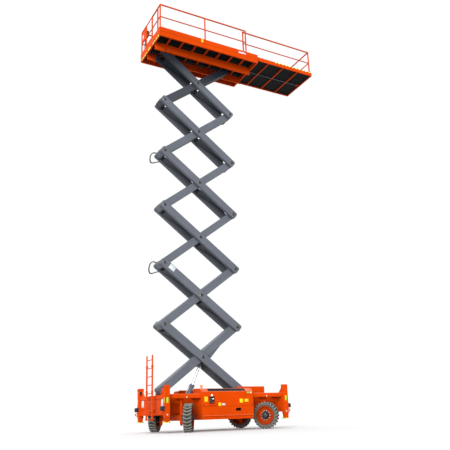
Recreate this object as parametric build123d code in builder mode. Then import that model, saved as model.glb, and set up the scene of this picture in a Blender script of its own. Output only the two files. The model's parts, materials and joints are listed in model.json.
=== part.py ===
"""Rough-terrain scissor lift, raised, with its extension deck run out and all four wheels steered.

Frame: millimetres, +Z up, origin on the ground under the middle of the chassis.
+X is the end that the extension deck runs out over, -X the ladder end.  "right" is the -Y side.
The rest pose is the raised machine; every pose below it is worked out from ARM_ANGLE.
"""
import os
from math import asin, atan2, cos, degrees, hypot, radians, sin, sqrt, tan

from build123d import *

os.makedirs("parts", exist_ok=True)

# ---------------------------------------------------------------- driving dimensions
# Scissor stack
STAGES = 6
ARM_SPAN = 3455.0        # between the end pins of one arm
ARM_ANGLE = 37.2         # slope of the arms when raised, degrees
LIFT_SWING = 32.0        # degrees that the arms fold down from there
ARM_DEPTH = 260.0        # height of an arm's section
ARM_NOSE = 130.0         # arm beyond its end pin
ARM_CORNER = 70.0        # radius of an arm's end corners
BAR_OUT = 330.0          # outer face of the outer arms' flat bars, from the centre plane
BAR_THICK = 120.0
TIE_PLATE = 16.0         # plate that ties an outer arm's bars, in the band the inner arms leave free
TIE_FROM = 215.0         # its start along the arm from the centre pin, and its end's distance from the end pin
TIE_TO = ARM_SPAN / 2 - TIE_FROM
INNER_WIDE = 340.0       # width of the single inner arm
PIN_R = 40.0
PIN_CAP_R = 58.0         # retaining caps on the pins' ends
PIN_CAP = 14.0
BOSS_R = 78.0
PIVOT_X = -1876.0        # fixed lower pin
PIVOT_Z = 1291.0
ROLLER_R = 60.0
ROLLER_WIDE = 50.0
RUN_CLEAR = 0.08         # radial clearance of a pin in its bore
OPEN_CLEAR = 0.5         # the same at the right-hand pins, where the linkage is opened
SEAT = 0.3               # a piece beside its neighbour
TRACK_CLEAR = 0.5
TRACK_WALL = 12.0

# Lift cylinder
CYL_FOOT = (-1120.0, 600.0)      # x, z of the barrel's pin
EYE_ALONG = -166.0               # rod's eye, from the lowest centre pin, along and across the arm
EYE_ACROSS = -235.0
BARREL_R = 72.0
BARREL_BORE = 60.0
BARREL_LONG = 930.0
ROD_R = 40.0
ROD_HELD = 250.0         # rod and piston still inside the barrel when raised
GUSSET_END = 900.0               # stiffening gusset's far end, along the arm from its centre pin
EYE_PIN_R = 25.0
EYE_BORE = 50.0                  # open joint: room for the eye to drift from its pin
EYE_R = 74.0
FOOT_PIN_R = 35.0

# Chassis
END_X = 2060.0           # inner face of the end beams
END_BEAM = 110.0
END_LOW, END_TOP = 520.0, 1110.0
TIE_Z = 560.0            # tie-down lugs on the posts' end faces
TIE_OUT, TIE_THICK, TIE_HOLE, TIE_RIM = 45.0, 30.0, 26.0, 24.0
WEB_IN, WEB_OUT = 440.0, 500.0   # main side webs
WEB_LOW, WEB_TOP = 560.0, 1130.0
RAIL_IN, RAIL_OUT = 980.0, 1090.0
RAIL_LOW, RAIL_TOP = 990.0, 1130.0
POST_X0, POST_X1 = 2050.0, 2230.0
POST_Y0, POST_Y1 = 1050.0, 1190.0
POST_LOW, POST_TOP = 450.0, 1390.0
POST_WALL = 14.0
FOOT_LOW = 300.0         # underside of a jack's foot when drawn up
FOOT_SIZE = 200.0
FOOT_THICK = 24.0
LEG_LONG = 830.0
LEG_CLEAR = 0.5

BOLSTER_HALF, BOLSTER_LOW = 130.0, 900.0     # cross member under the stack's fixed pin
SADDLE_HALF, SADDLE_TOP = 110.0, 640.0       # cross members over the axles
TIE_BEAMS = (-300.0, 700.0)                  # cross members amidships
TIE_BEAM_HALF, TIE_BEAM_HIGH = 60.0, 120.0
OUTRIGGER = 50.0         # brackets from the webs to the rails
RAIL_CORNER = 28.0
PIN_PLATE = 26.0         # brackets of the stack's fixed pin
SEAT_HIGH = 950.0        # their feet
END_LIP, END_FLANGE = 45.0, 24.0             # end beam's flanges beyond its face
CREASE_Z, CREASE_OUT = 705.0, 12.0           # end beam's upper panel, proud of its lower one
CAP_HIGH = 110.0
WINDOW_Y, WINDOW_WIDE, WINDOW_HIGH = 150.0, 150.0, 90.0      # openings in the lower panel
WINDOW_Z, WINDOW_DEEP = 625.0, 60.0
SHOULDER_LONG, SHOULDER_TOP, SHOULDER_THICK = 230.0, 1290.0, 50.0
BUMPER_WIDE, BUMPER_HIGH, BUMPER_OUT = 150.0, 150.0, 95.0
BUMPER_Z = 710.0
LAMP_Z, LAMP_WIDE, LAMP_HIGH, LAMP_DEEP = 1245.0, 64.0, 84.0, 70.0

# Axles and wheels
AXLE_X = 1520.0
KINGPIN_Y = 970.0
TYRE_R = 420.0
TYRE_WIDE = 265.0
WHEEL_OFFSET = 160.0     # tyre's middle outboard of the kingpin
RIM_R = 272.0
TREAD_BARS = 24          # on each half of the tread
TREAD_SIDES = TREAD_BARS         # flats round the carcass, one under each pair of bars
BAR_HIGH = 30.0          # tread bars above the carcass
BAR_HALF = 15.0          # half the thickness of a bar at the tyre's middle
BAR_SLANT = 28.0         # how far a bar leans round the tyre towards its middle
SHOULDER = 20.0          # drop and width of the carcass's shoulder
RIM_WALL = 14.0
HUB_R = 118.0
SPINDLE_R = 45.0
KINGPIN_R = 24.0
BEAM_WIDE, BEAM_HIGH = 160.0, 160.0
YOKE_WIDE = 100.0
YOKE_GAP = 100.0         # half the gap between the yoke's lugs
YOKE_LUG = 36.0
COLUMN_IN = 150.0        # king post inboard of the kingpin
COLUMN_R = 52.0
COLUMN_LOW, COLUMN_TIP = 255.0, 190.0
LINK_LOW, LINK_HIGH = 50.0, 42.0     # upper link above the tyre, and its depth
LINK_BACK, LINK_OUT = 340.0, 150.0
# wheel: name, x sign, y sign, steering angle at rest about +Z
WHEELS = [
    ("rear_right", -1, -1, 58.0),
    ("rear_left", -1, 1, 52.0),
    ("front_right", 1, -1, -50.0),
    ("front_left", 1, 1, -44.0),
]

# Side pods
POD_X0, POD_X1 = -960.0, 890.0
POD_IN, POD_OUT = 510.0, 1150.0
POD_LOW, POD_TOP = 345.0, 1285.0
POD_SPLIT = 735.0        # seam between tray and hood
POD_WALL = 10.0
SPLIT_GAP = 6.0
BEVEL_DEEP, BEVEL_HIGH = 150.0, 105.0
SILL_Z, SILL_HIGH, SILL_OUT = 440.0, 30.0, 14.0      # ledge along the tray's outer face
SILL_BACK = 10.0         # tray's face below the ledge, inboard of the face above it
HINGE_Y = 592.0
HINGE_RISE = 3.0         # hinge above the pod's top
HINGE_R, HINGE_ROD_R = 16.0, 9.0
EAR_CLEAR = 11.0         # hood clear of the tray's hinge ears as it swings

GRILLE_X0, GRILLE_X1 = 240.0, 270.0      # grille from the pod's rear and front ends
GRILLE_SLOTS = 20
GRILLE_THICK, GRILLE_LAP = 8.0, 12.0
PANEL_X, PANEL_WIDE = 240.0, 220.0       # control recess from the pod's rear end
PANEL_LOW, PANEL_HIGH, PANEL_DEEP = 815.0, 215.0, 60.0
OVAL_X, OVAL_Z = 560.0, 630.0            # oval hand hole from the pod's front end
OVAL_LONG, OVAL_HIGH, OVAL_RIM = 200.0, 92.0, 16.0

# Ladder: three sections of stringer, each narrower than the one below
LADDER_Y = -180.0
LADDER_HALF = 240.0      # stringer centre from the ladder's middle
LADDER_LOW, LADDER_TOP = 370.0, 2360.0
LADDER_JOINTS = (1245.0, 2025.0)
STRINGER_WIDE, STRINGER_STEP, STRINGER_DEEP = 66.0, 10.0, 40.0
LADDER_X = -2330.0
RUNG_R = 14.0
RUNG_PITCH = 258.0
RUNG_TOP = 150.0         # top rung below the stringers' top
STEP_LONG, STEP_DEEP = 110.0, 26.0

# Platform
DECK_X0, DECK_X1 = -2370.0, 1900.0
DECK_HALF = 1000.0
DECK_RISE = 130.0        # deck's underside above the top pins
BEAM_TIER = 185.0        # lower tier of the deck's side
TIER_GROOVE, GROOVE_DEEP = 10.0, 6.0
TOE_TIER = 187.0         # upper tier, the toe board
SIDE_WALL = 50.0         # side beam's thickness
TOE_WALL = 12.0
FLOOR_THICK = 10.0
KEEL_WALL = 12.0         # deck's two long channels, which are the upper tracks
DECK_RIBS, RIB_HALF, RIB_DEEP = 7, 25.0, 80.0
RAIL_TUBE = 40.0
RAIL_HIGH = 1400.0       # top of the guard rails above the deck's underside
MID_RAIL = 860.0
EXT_LONG = 3600.0
EXT_OUT = 2750.0         # how far the extension stands out at rest
EXT_SIDE = 75.0          # extension's side inboard of the deck's side
EXT_DEEP = 165.0
EXT_FLOOR = 60.0         # extension's floor above its own underside
EXT_RIBS, EXT_RIB_HALF = 4, 18.0
EXT_ROD_R = 16.0         # extension cylinder, between the floors
EXT_ROD_BACK = 520.0     # its inner end outboard of the extension's inner end
EXT_ROD_END = 160.0      # its bracket short of the extension's outer end
EXT_RAIL_BACK = 250.0    # first post from the extension's inner end
EXT_RAIL_IN = 44.0
GATE_Y0, GATE_Y1 = -140.0, 470.0
GATE_GAP = 8.0

# ---------------------------------------------------------------- worked out from those
A = radians(ARM_ANGLE)
ARM_X, ARM_Z = ARM_SPAN * cos(A), ARM_SPAN * sin(A)      # one stage's width and height
STACK_X = PIVOT_X + ARM_X / 2
BAR_IN = BAR_OUT - BAR_THICK
TOP_Z = PIVOT_Z + STAGES * ARM_Z
ROLLER_Y0 = BAR_OUT + PIN_CAP + 1.0
ROLLER_Y1 = ROLLER_Y0 + ROLLER_WIDE
TRACK_OUT = ROLLER_Y1 + 1.0 + TRACK_WALL
TRACK_HALF = ROLLER_R + TRACK_CLEAR
DECK_Z = TOP_Z + DECK_RISE
EXT_HALF = DECK_HALF - EXT_SIDE
WHEEL_Z = TYRE_R
HINGE_Z = POD_TOP + HINGE_RISE
LOWEST = radians(2 * (ARM_ANGLE - LIFT_SWING))           # between crossing arms when lowered


def keep(piece, node):
    """Name a finished piece and write it to its own file."""
    piece.label = node
    export_step(piece, f"parts/{node}.step")


def block(x, y, z, mode=Mode.ADD):
    """A box between two limits on each axis, for the part that is open."""
    with Locations(((x[0] + x[1]) / 2, (y[0] + y[1]) / 2, (z[0] + z[1]) / 2)):
        Box(abs(x[1] - x[0]), abs(y[1] - y[0]), abs(z[1] - z[0]), mode=mode)


def side_plane(x, z, slope=0.0, y=0.0):
    """A plane that faces the -Y side, its own X axis sloping up by `slope` degrees."""
    a = radians(slope)
    return Plane(origin=(x, y, z), x_dir=(cos(a), 0, sin(a)), z_dir=(0, -1, 0))


# ---------------------------------------------------------------- scissor arms
def arm_middle(stage):
    """Centre pin of a stage, counted from 1."""
    return PIVOT_Z + (stage - 0.5) * ARM_Z


def inner_arm(stage):
    """Box arm that slopes up to +X: bosses that space it from the bars, three bores."""
    plane = side_plane(STACK_X, arm_middle(stage), ARM_ANGLE)
    ends = [(-ARM_SPAN / 2, 0), (0, 0), (ARM_SPAN / 2, 0)]
    with BuildPart() as arm:
        with BuildSketch(plane):
            RectangleRounded(ARM_SPAN + 2 * ARM_NOSE, ARM_DEPTH, ARM_CORNER)
        extrude(amount=INNER_WIDE / 2, both=True)
        if stage == 1:
            cylinder_lugs(plane)
        with BuildSketch(plane):
            with Locations(*ends):
                Circle(BOSS_R)
        extrude(amount=BAR_IN - SEAT, both=True)
        with BuildSketch(plane):
            with Locations(*ends[:2]):
                Circle(PIN_R + RUN_CLEAR)
            if stage < STAGES:
                with Locations(ends[2]):
                    Circle(PIN_R + OPEN_CLEAR)
        extrude(amount=BAR_OUT, both=True, mode=Mode.SUBTRACT)
        if stage == STAGES:
            roller_shaft(plane, ends[2])
    return arm.part


def roller_shaft(plane, at):
    """Shaft through an arm's end, with a roller outside each bar."""
    with BuildSketch(plane) as shaft:
        with Locations(at):
            Circle(PIN_R)
    extrude(to_extrude=shaft.sketch, amount=ROLLER_Y1, both=True)
    for side in (1, -1):
        with BuildSketch(plane.offset(side * ROLLER_Y0)) as roller:
            with Locations(at):
                Circle(ROLLER_R)
        extrude(to_extrude=roller.sketch, amount=side * ROLLER_WIDE)


def cylinder_lugs(plane):
    """Stiffening gusset and the pair of lugs under the lowest inner arm that hold the rod's pin."""
    lug_in, lug_thick = 47.0, 22.0
    under = -ARM_DEPTH / 2
    with BuildSketch(plane) as gusset:
        with BuildLine():
            Polyline((60, under + 5), (150, under - 120), (260, under - 120), (GUSSET_END, under + 5),
                     close=True)
        make_face()
    extrude(to_extrude=gusset.sketch, amount=INNER_WIDE / 2 - 20, both=True)
    for side in (1, -1):
        with BuildSketch(plane.offset(side * lug_in)) as lug:
            with BuildLine():
                Polyline((EYE_ALONG - 110, under + 5), (EYE_ALONG - 50, EYE_ACROSS),
                         (EYE_ALONG + 50, EYE_ACROSS), (EYE_ALONG + 110, under + 5), close=True)
            make_face()
            with Locations((EYE_ALONG, EYE_ACROSS)):
                Circle(50)
        extrude(to_extrude=lug.sketch, amount=side * lug_thick)
    with BuildSketch(plane) as pin:
        with Locations((EYE_ALONG, EYE_ACROSS)):
            Circle(EYE_PIN_R)
    extrude(to_extrude=pin.sketch, amount=lug_in + lug_thick + 12, both=True)


def outer_arm(stage):
    """Two flat bars that slope down to +X, joined by their three pins."""
    plane = side_plane(STACK_X, arm_middle(stage), -ARM_ANGLE)
    pins = [(-ARM_SPAN / 2, 0), (0, 0), (ARM_SPAN / 2, 0)]
    with BuildPart() as arm:
        for side in (1, -1):
            with BuildSketch(plane.offset(side * BAR_IN)):
                RectangleRounded(ARM_SPAN + 2 * ARM_NOSE, ARM_DEPTH, ARM_CORNER)
            extrude(amount=side * BAR_THICK)
        with BuildSketch(plane):
            with Locations(*pins):
                Circle(PIN_R)
        extrude(amount=BAR_OUT, both=True)
        with BuildSketch(plane.offset(BAR_OUT), plane.offset(-BAR_OUT - PIN_CAP)):
            with Locations(*pins):
                Circle(PIN_CAP_R)
        extrude(amount=PIN_CAP)
        for way in (1, -1):
            with BuildSketch(plane):
                with BuildLine():
                    Polyline(*tie_plate(way, stage), close=True)
                make_face()
            extrude(amount=BAR_IN + 2, both=True)
        if stage == 1:
            roller_shaft(plane, pins[2])
        if stage == STAGES:
            with BuildSketch(plane):
                with Locations(pins[0]):
                    Circle(PIN_R)
            extrude(amount=TRACK_OUT, both=True)
    return arm.part


def tie_plate(way, stage):
    """Corners of a half's tie plate, along and across the arm.

    Lowered, the inner arms above and below lie parallel, at the angle LOWEST to this arm.  The plate
    keeps to the middle line between them.  The lowest arm's plate starts beyond the cylinder's gusset.
    """
    start = GUSSET_END if stage == 1 and way > 0 else TIE_FROM
    middle = [way * (along - ARM_SPAN / 4) * tan(LOWEST) for along in (start, TIE_TO)]
    half = TIE_PLATE / 2
    return [(way * start, middle[0] - half), (way * TIE_TO, middle[1] - half),
            (way * TIE_TO, middle[1] + half), (way * start, middle[0] + half)]


for stage in range(1, STAGES + 1):
    keep(inner_arm(stage), f"inner_arm_{stage}")
    keep(outer_arm(stage), f"outer_arm_{stage}")

# ---------------------------------------------------------------- lift cylinder
eye_x = STACK_X + EYE_ALONG * cos(A) - EYE_ACROSS * sin(A)
eye_z = arm_middle(1) + EYE_ALONG * sin(A) + EYE_ACROSS * cos(A)
CYL_REACH = hypot(eye_x - CYL_FOOT[0], eye_z - CYL_FOOT[1])
CYL_SLOPE = degrees(atan2(eye_z - CYL_FOOT[1], eye_x - CYL_FOOT[0]))
along_cylinder = Plane(origin=(CYL_FOOT[0], 0, CYL_FOOT[1]), x_dir=(0, 1, 0),
                       z_dir=(cos(radians(CYL_SLOPE)), 0, sin(radians(CYL_SLOPE))))
ROD_LONG = CYL_REACH - BARREL_LONG + ROD_HELD
eye_half = 44.0

with BuildPart() as barrel:
    with BuildSketch(along_cylinder.offset(60)):
        Circle(BARREL_R)
    extrude(amount=BARREL_LONG - 60)
    with BuildSketch(along_cylinder.offset(BARREL_LONG - 70)):
        Circle(BARREL_R + 12)
    extrude(amount=70)
    with BuildSketch(side_plane(*CYL_FOOT)):
        Circle(FOOT_PIN_R + 35)
    extrude(amount=eye_half, both=True)
    with BuildSketch(along_cylinder.offset(110)):
        Circle(BARREL_BORE)
    extrude(amount=BARREL_LONG - 190, mode=Mode.SUBTRACT)
    with BuildSketch(along_cylinder.offset(BARREL_LONG - 100)):
        Circle(ROD_R + RUN_CLEAR)
    extrude(amount=120, mode=Mode.SUBTRACT)
    with BuildSketch(side_plane(*CYL_FOOT)):
        Circle(FOOT_PIN_R + RUN_CLEAR)
    extrude(amount=eye_half + 5, both=True, mode=Mode.SUBTRACT)
keep(barrel.part, "lift_cylinder_barrel")

with BuildPart() as rod:
    with BuildSketch(along_cylinder.offset(CYL_REACH - ROD_LONG)):
        Circle(ROD_R)
    extrude(amount=ROD_LONG - EYE_BORE - 10)
    with BuildSketch(along_cylinder.offset(CYL_REACH - ROD_LONG)):
        Circle(BARREL_BORE - RUN_CLEAR)
    extrude(amount=60)
    with BuildSketch(side_plane(eye_x, eye_z)):
        Circle(EYE_R)
        Circle(EYE_BORE, mode=Mode.SUBTRACT)
    extrude(amount=eye_half, both=True)
keep(rod.part, "lift_cylinder_rod")

# ---------------------------------------------------------------- chassis frame
track_x0 = STACK_X + ARM_X / 2 - 170
track_x1 = PIVOT_X + ARM_SPAN + 160
rail_middle = ((RAIL_IN + RAIL_OUT) / 2, (RAIL_LOW + RAIL_TOP) / 2)

with BuildPart() as frame:
    for side in (1, -1):
        # deep side web
        block((-END_X, END_X), (side * WEB_IN, side * WEB_OUT), (WEB_LOW, WEB_TOP))
        # track for the lower rollers: a channel on a long seat
        with BuildSketch(Plane.YZ.offset(track_x0)):
            with BuildLine():
                Polyline((side * WEB_OUT, WEB_TOP - 1), (side * WEB_OUT, PIVOT_Z + TRACK_HALF + TRACK_WALL),
                         (side * (ROLLER_Y0 - 3), PIVOT_Z + TRACK_HALF + TRACK_WALL),
                         (side * (ROLLER_Y0 - 3), PIVOT_Z + TRACK_HALF),
                         (side * (TRACK_OUT - TRACK_WALL), PIVOT_Z + TRACK_HALF),
                         (side * (TRACK_OUT - TRACK_WALL), PIVOT_Z - TRACK_HALF),
                         (side * (ROLLER_Y0 - 3), PIVOT_Z - TRACK_HALF),
                         (side * (ROLLER_Y0 - 3), PIVOT_Z - TRACK_HALF - TRACK_WALL),
                         (side * WEB_IN, PIVOT_Z - TRACK_HALF - TRACK_WALL),
                         (side * WEB_IN, WEB_TOP - 1), close=True)
            make_face()
        extrude(amount=track_x1 - track_x0)
        # outboard rails over the wheels, from the pods to the end beams, on their outriggers
        for x0, x1 in ((-POST_X0, POD_X0), (POD_X1, POST_X0)):
            with BuildSketch(Plane.YZ.offset(x0)):
                with Locations((side * rail_middle[0], rail_middle[1])):
                    RectangleRounded(RAIL_OUT - RAIL_IN, RAIL_TOP - RAIL_LOW, RAIL_CORNER)
            extrude(amount=x1 - x0)
            for x in (x0 + OUTRIGGER, x1 - 2 * OUTRIGGER):
                block((x, x + OUTRIGGER), (side * (WEB_OUT - 5), side * (RAIL_IN + 5)),
                      (RAIL_LOW + RAIL_CORNER, RAIL_TOP - RAIL_CORNER))
        # plates over the axles' king posts
        for x in (-AXLE_X, AXLE_X):
            block((x - COLUMN_R, x + COLUMN_R), (side * (WEB_OUT - 5), side * (RAIL_IN + 5)),
                  (RAIL_LOW + RAIL_CORNER, RAIL_LOW + 2 * RAIL_CORNER))
        # brackets of the fixed lower pin
        plane = side_plane(PIVOT_X, PIVOT_Z).offset(side * (BAR_IN + 4))
        with BuildSketch(plane):
            Circle(70)
            with BuildLine():
                Polyline((-70, 0), (70, 0), (120, SEAT_HIGH - PIVOT_Z), (-120, SEAT_HIGH - PIVOT_Z), close=True)
            make_face()
        extrude(amount=side * PIN_PLATE)
    # cross members: under the fixed pin, over both axles, amidships
    between_webs = (-WEB_IN - 5, WEB_IN + 5)
    block((PIVOT_X - BOLSTER_HALF, PIVOT_X + BOLSTER_HALF), between_webs, (BOLSTER_LOW, END_TOP))
    for x in (-AXLE_X, AXLE_X):
        block((x - SADDLE_HALF, x + SADDLE_HALF), between_webs, (WHEEL_Z + BEAM_HIGH / 2, SADDLE_TOP))
    for x in TIE_BEAMS:
        block((x - TIE_BEAM_HALF, x + TIE_BEAM_HALF), between_webs, (WEB_LOW, WEB_LOW + TIE_BEAM_HIGH))
    # pins: the stack's fixed lower pin and the cylinder's foot
    with BuildSketch(side_plane(PIVOT_X, PIVOT_Z)):
        Circle(PIN_R)
    extrude(amount=BAR_IN + 40, both=True)
    with BuildSketch(side_plane(*CYL_FOOT)):
        Circle(FOOT_PIN_R)
    extrude(amount=WEB_IN + 5, both=True)
keep(frame.part, "chassis_frame")

# ---------------------------------------------------------------- end beams with the jack posts
leg_x = POST_X1 - POST_X0 - 2 * POST_WALL - 2 * LEG_CLEAR
leg_y = POST_Y1 - POST_Y0 - 2 * POST_WALL - 2 * LEG_CLEAR
post_mid = ((POST_X0 + POST_X1) / 2, (POST_Y0 + POST_Y1) / 2)


def end_beam(end):
    """Pressed cross beam at one end, with a hollow jack post and its shoulder at each corner."""
    face, lip = END_BEAM - CREASE_OUT, END_BEAM + END_LIP
    section = [(0, END_LOW), (lip, END_LOW), (lip, END_LOW + END_FLANGE), (face, END_LOW + END_FLANGE),
               (face, CREASE_Z), (END_BEAM, CREASE_Z + CREASE_OUT), (END_BEAM, END_TOP - CAP_HIGH - CREASE_OUT),
               (lip - 20, END_TOP - CAP_HIGH), (lip - 20, END_TOP), (0, END_TOP)]
    with BuildPart() as beam:
        with BuildSketch(Plane.XZ):
            with BuildLine():
                Polyline(*[(end * (END_X + out), z) for out, z in section], close=True)
            make_face()
        extrude(amount=POST_Y0 + 5, both=True)
        # openings in the lower panel
        with BuildSketch(Plane.YZ.offset(end * (END_X + face - WINDOW_DEEP))):
            with Locations((-WINDOW_Y, WINDOW_Z), (WINDOW_Y, WINDOW_Z)):
                RectangleRounded(WINDOW_WIDE, WINDOW_HIGH, 15)
        extrude(amount=end * (WINDOW_DEEP + 5), mode=Mode.SUBTRACT)
        for side in (1, -1):
            x, y = end * post_mid[0], side * post_mid[1]
            # shoulder that slopes from the post down to the beam
            with BuildSketch(Plane.YZ.offset(end * (END_X + 20))):
                with BuildLine():
                    Polyline((side * (POST_Y0 + 5), SHOULDER_TOP), (side * (POST_Y0 - 30), SHOULDER_TOP),
                             (side * (POST_Y0 - SHOULDER_LONG), END_TOP - 5), (side * (POST_Y0 + 5), END_TOP - 5),
                             close=True)
                make_face()
            extrude(amount=end * SHOULDER_THICK)
            with BuildSketch(Plane.XY.offset(POST_LOW)):
                with Locations((x, y)):
                    RectangleRounded(POST_X1 - POST_X0, POST_Y1 - POST_Y0, 12)
            extrude(amount=POST_TOP - POST_LOW)
            with BuildSketch(Plane.XY.offset(POST_LOW)):
                with Locations((x, y)):
                    Rectangle(leg_x + 2 * LEG_CLEAR, leg_y + 2 * LEG_CLEAR)
            extrude(amount=POST_TOP - POST_LOW - POST_WALL, mode=Mode.SUBTRACT)
            # tie-down lug: a plate on the post's end face with a shackle hole
            with BuildSketch(side_plane(end * (POST_X1 + TIE_OUT), TIE_Z, y=y)):
                Circle(TIE_HOLE + TIE_RIM)
                with Locations((-end * (TIE_OUT / 2 + 2), 0)):
                    Rectangle(TIE_OUT + 4, 2 * (TIE_HOLE + TIE_RIM))
                Circle(TIE_HOLE, mode=Mode.SUBTRACT)
            extrude(amount=TIE_THICK / 2, both=True)
    return beam.part


keep(end_beam(-1), "rear_end_beam")
keep(end_beam(1), "front_end_beam")


def jack_leg(end, side):
    """Sliding leg with its foot."""
    x, y = end * post_mid[0], side * post_mid[1]
    with BuildPart() as leg:
        with BuildSketch(Plane.XY.offset(FOOT_LOW + FOOT_THICK)):
            with Locations((x, y)):
                Rectangle(leg_x, leg_y)
        extrude(amount=LEG_LONG)
        with BuildSketch(Plane.XY.offset(FOOT_LOW)):
            with Locations((x, y)):
                RectangleRounded(FOOT_SIZE, FOOT_SIZE, 30)
        extrude(amount=FOOT_THICK)
    return leg.part


for name, end, side, _ in WHEELS:
    keep(jack_leg(end, side), f"jack_{name}")

# ---------------------------------------------------------------- axles
def axle(x):
    """Beam with a yoke at each end for the kingpin, and a king post that carries the upper link."""
    lug_top = YOKE_GAP + YOKE_LUG
    link_z = WHEEL_Z + TYRE_R + LINK_LOW
    with BuildPart() as beam:
        with BuildSketch(Plane.XY.offset(WHEEL_Z - BEAM_HIGH / 2)):
            with BuildLine():
                y0, y1 = 640, KINGPIN_Y - 105
                Polyline((x - BEAM_WIDE / 2, -y0), (x - YOKE_WIDE / 2, -y1), (x + YOKE_WIDE / 2, -y1),
                         (x + BEAM_WIDE / 2, -y0), (x + BEAM_WIDE / 2, y0), (x + YOKE_WIDE / 2, y1),
                         (x - YOKE_WIDE / 2, y1), (x - BEAM_WIDE / 2, y0), close=True)
            make_face()
        extrude(amount=BEAM_HIGH)
        for side in (1, -1):
            y = side * KINGPIN_Y
            for z0, z1 in ((YOKE_GAP, lug_top), (-lug_top, -YOKE_GAP)):
                with BuildSketch(Plane.XY.offset(WHEEL_Z + z0)):
                    with Locations((x, y)):
                        Circle(YOKE_WIDE / 2)
                    with Locations((x, y - side * 70)):
                        Rectangle(YOKE_WIDE, 140)
                extrude(amount=z1 - z0)
            block((x - YOKE_WIDE / 2, x + YOKE_WIDE / 2), (side * (KINGPIN_Y - 140), side * (KINGPIN_Y - 104)),
                  (WHEEL_Z - lug_top, WHEEL_Z + lug_top))
            # king post up to the frame's plate, pointed below, with the link over the tyre
            post_y = y - side * COLUMN_IN
            with BuildSketch(Plane.XY.offset(COLUMN_LOW)):
                with Locations((x, post_y)):
                    Circle(COLUMN_R)
            extrude(amount=RAIL_LOW + RAIL_CORNER - COLUMN_LOW)
            with BuildSketch(Plane.XY.offset(COLUMN_LOW)):
                with Locations((x, post_y)):
                    Circle(COLUMN_R)
            with BuildSketch(Plane.XY.offset(COLUMN_TIP)):
                with Locations((x, post_y)):
                    Circle(COLUMN_R / 2)
            loft()
            inward = -1 if x > 0 else 1
            with BuildSketch(side_plane(x, link_z, y=post_y + side * LINK_HIGH / 2)):
                with BuildLine():
                    Polyline((-inward * LINK_BACK, -LINK_HIGH / 4), (-inward * LINK_BACK, LINK_HIGH / 4),
                             (0, LINK_HIGH / 2), (inward * LINK_OUT, LINK_HIGH / 2),
                             (inward * LINK_OUT, -LINK_HIGH / 2), (0, -LINK_HIGH / 2), close=True)
                make_face()
                with Locations((inward * LINK_OUT, 0)):
                    Circle(LINK_HIGH * 0.7)
            extrude(amount=side * LINK_HIGH)
            with BuildSketch(Plane.XY.offset(WHEEL_Z - lug_top - 1)):
                with Locations((x, y)):
                    Circle(KINGPIN_R + RUN_CLEAR)
            extrude(amount=2 * lug_top + 2, mode=Mode.SUBTRACT)
    return beam.part


keep(axle(-AXLE_X), "rear_axle")
keep(axle(AXLE_X), "front_axle")

# ---------------------------------------------------------------- knuckles, hubs, rims and tyres
def wheel_plane(end, side, steer, out):
    """Plane across a wheel's axis, `out` millimetres outboard of the kingpin."""
    a = radians(steer)
    axis = (-sin(a) * side, cos(a) * side, 0)
    origin = (end * AXLE_X + axis[0] * out, side * KINGPIN_Y + axis[1] * out, WHEEL_Z)
    return Plane(origin=origin, x_dir=(0, 0, 1), z_dir=axis)


def ring(end, side, steer, profile):
    """Revolve a profile of (radius, distance outboard of the kingpin) about the wheel's axis."""
    across = wheel_plane(end, side, steer, 0)
    plane = Plane(origin=across.origin, x_dir=(0, 0, 1), z_dir=across.z_dir.cross(Vector(0, 0, 1)))
    flip = -1 if (plane.y_dir - across.z_dir).length > 1 else 1
    with BuildPart() as turned:
        with BuildSketch(plane):
            with BuildLine():
                Polyline(*[(r, flip * out) for r, out in profile], close=True)
            make_face()
        revolve(axis=Axis(across.origin, across.z_dir))
    return turned.part


half = TYRE_WIDE / 2
mid = WHEEL_OFFSET
hub_in, hub_out = 62.0, WHEEL_OFFSET + 125.0
disc_out, disc_wall = WHEEL_OFFSET + 55.0, 14.0
bead = 30.0              # tyre's bead inside its sidewall
# rim: barrel with a flange at each edge, a dished disc, and its centre hole for the hub
rim_profile = [(RIM_R, mid - half + 29), (RIM_R, mid + half - 29), (RIM_R + 22, mid + half - 29),
               (RIM_R + 22, mid + half - 16), (RIM_R - RIM_WALL, mid + half - 16),
               (RIM_R - RIM_WALL - 10, disc_out), (HUB_R + SEAT, disc_out - 18),
               (HUB_R + SEAT, disc_out - 18 - disc_wall), (RIM_R - RIM_WALL - 4, disc_out - disc_wall),
               (RIM_R - RIM_WALL, mid - half + 16), (RIM_R + 22, mid - half + 16),
               (RIM_R + 22, mid - half + 29)]
hub_profile = [(SPINDLE_R + RUN_CLEAR, hub_in), (HUB_R, hub_in), (HUB_R, disc_out - 18 - disc_wall),
               (HUB_R, hub_out - 50), (HUB_R - 40, hub_out), (0, hub_out),
               (0, hub_out - 45), (SPINDLE_R + RUN_CLEAR, hub_out - 45)]


def tread_bar(way):
    """One bar of a half of the tread, on an axis along Z: from the shoulder it leans to the middle."""
    tip = BAR_SLANT + BAR_HALF + 4
    top = sqrt(TYRE_R ** 2 - tip ** 2)
    bar_end = half - SHOULDER - 2
    with BuildPart() as bar:
        with BuildSketch(Plane(origin=(TYRE_R - BAR_HIGH - SHOULDER, 0, 0), x_dir=(0, 1, 0), z_dir=(1, 0, 0))):
            with BuildLine():
                Polyline((BAR_SLANT - BAR_HALF, way * 12), (BAR_SLANT + BAR_HALF, way * 12),
                         (4 - BAR_SLANT + BAR_HALF, way * bar_end), (-tip, way * bar_end), close=True)
            make_face()
        extrude(amount=top - (TYRE_R - BAR_HIGH - SHOULDER))
    return bar.part


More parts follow.
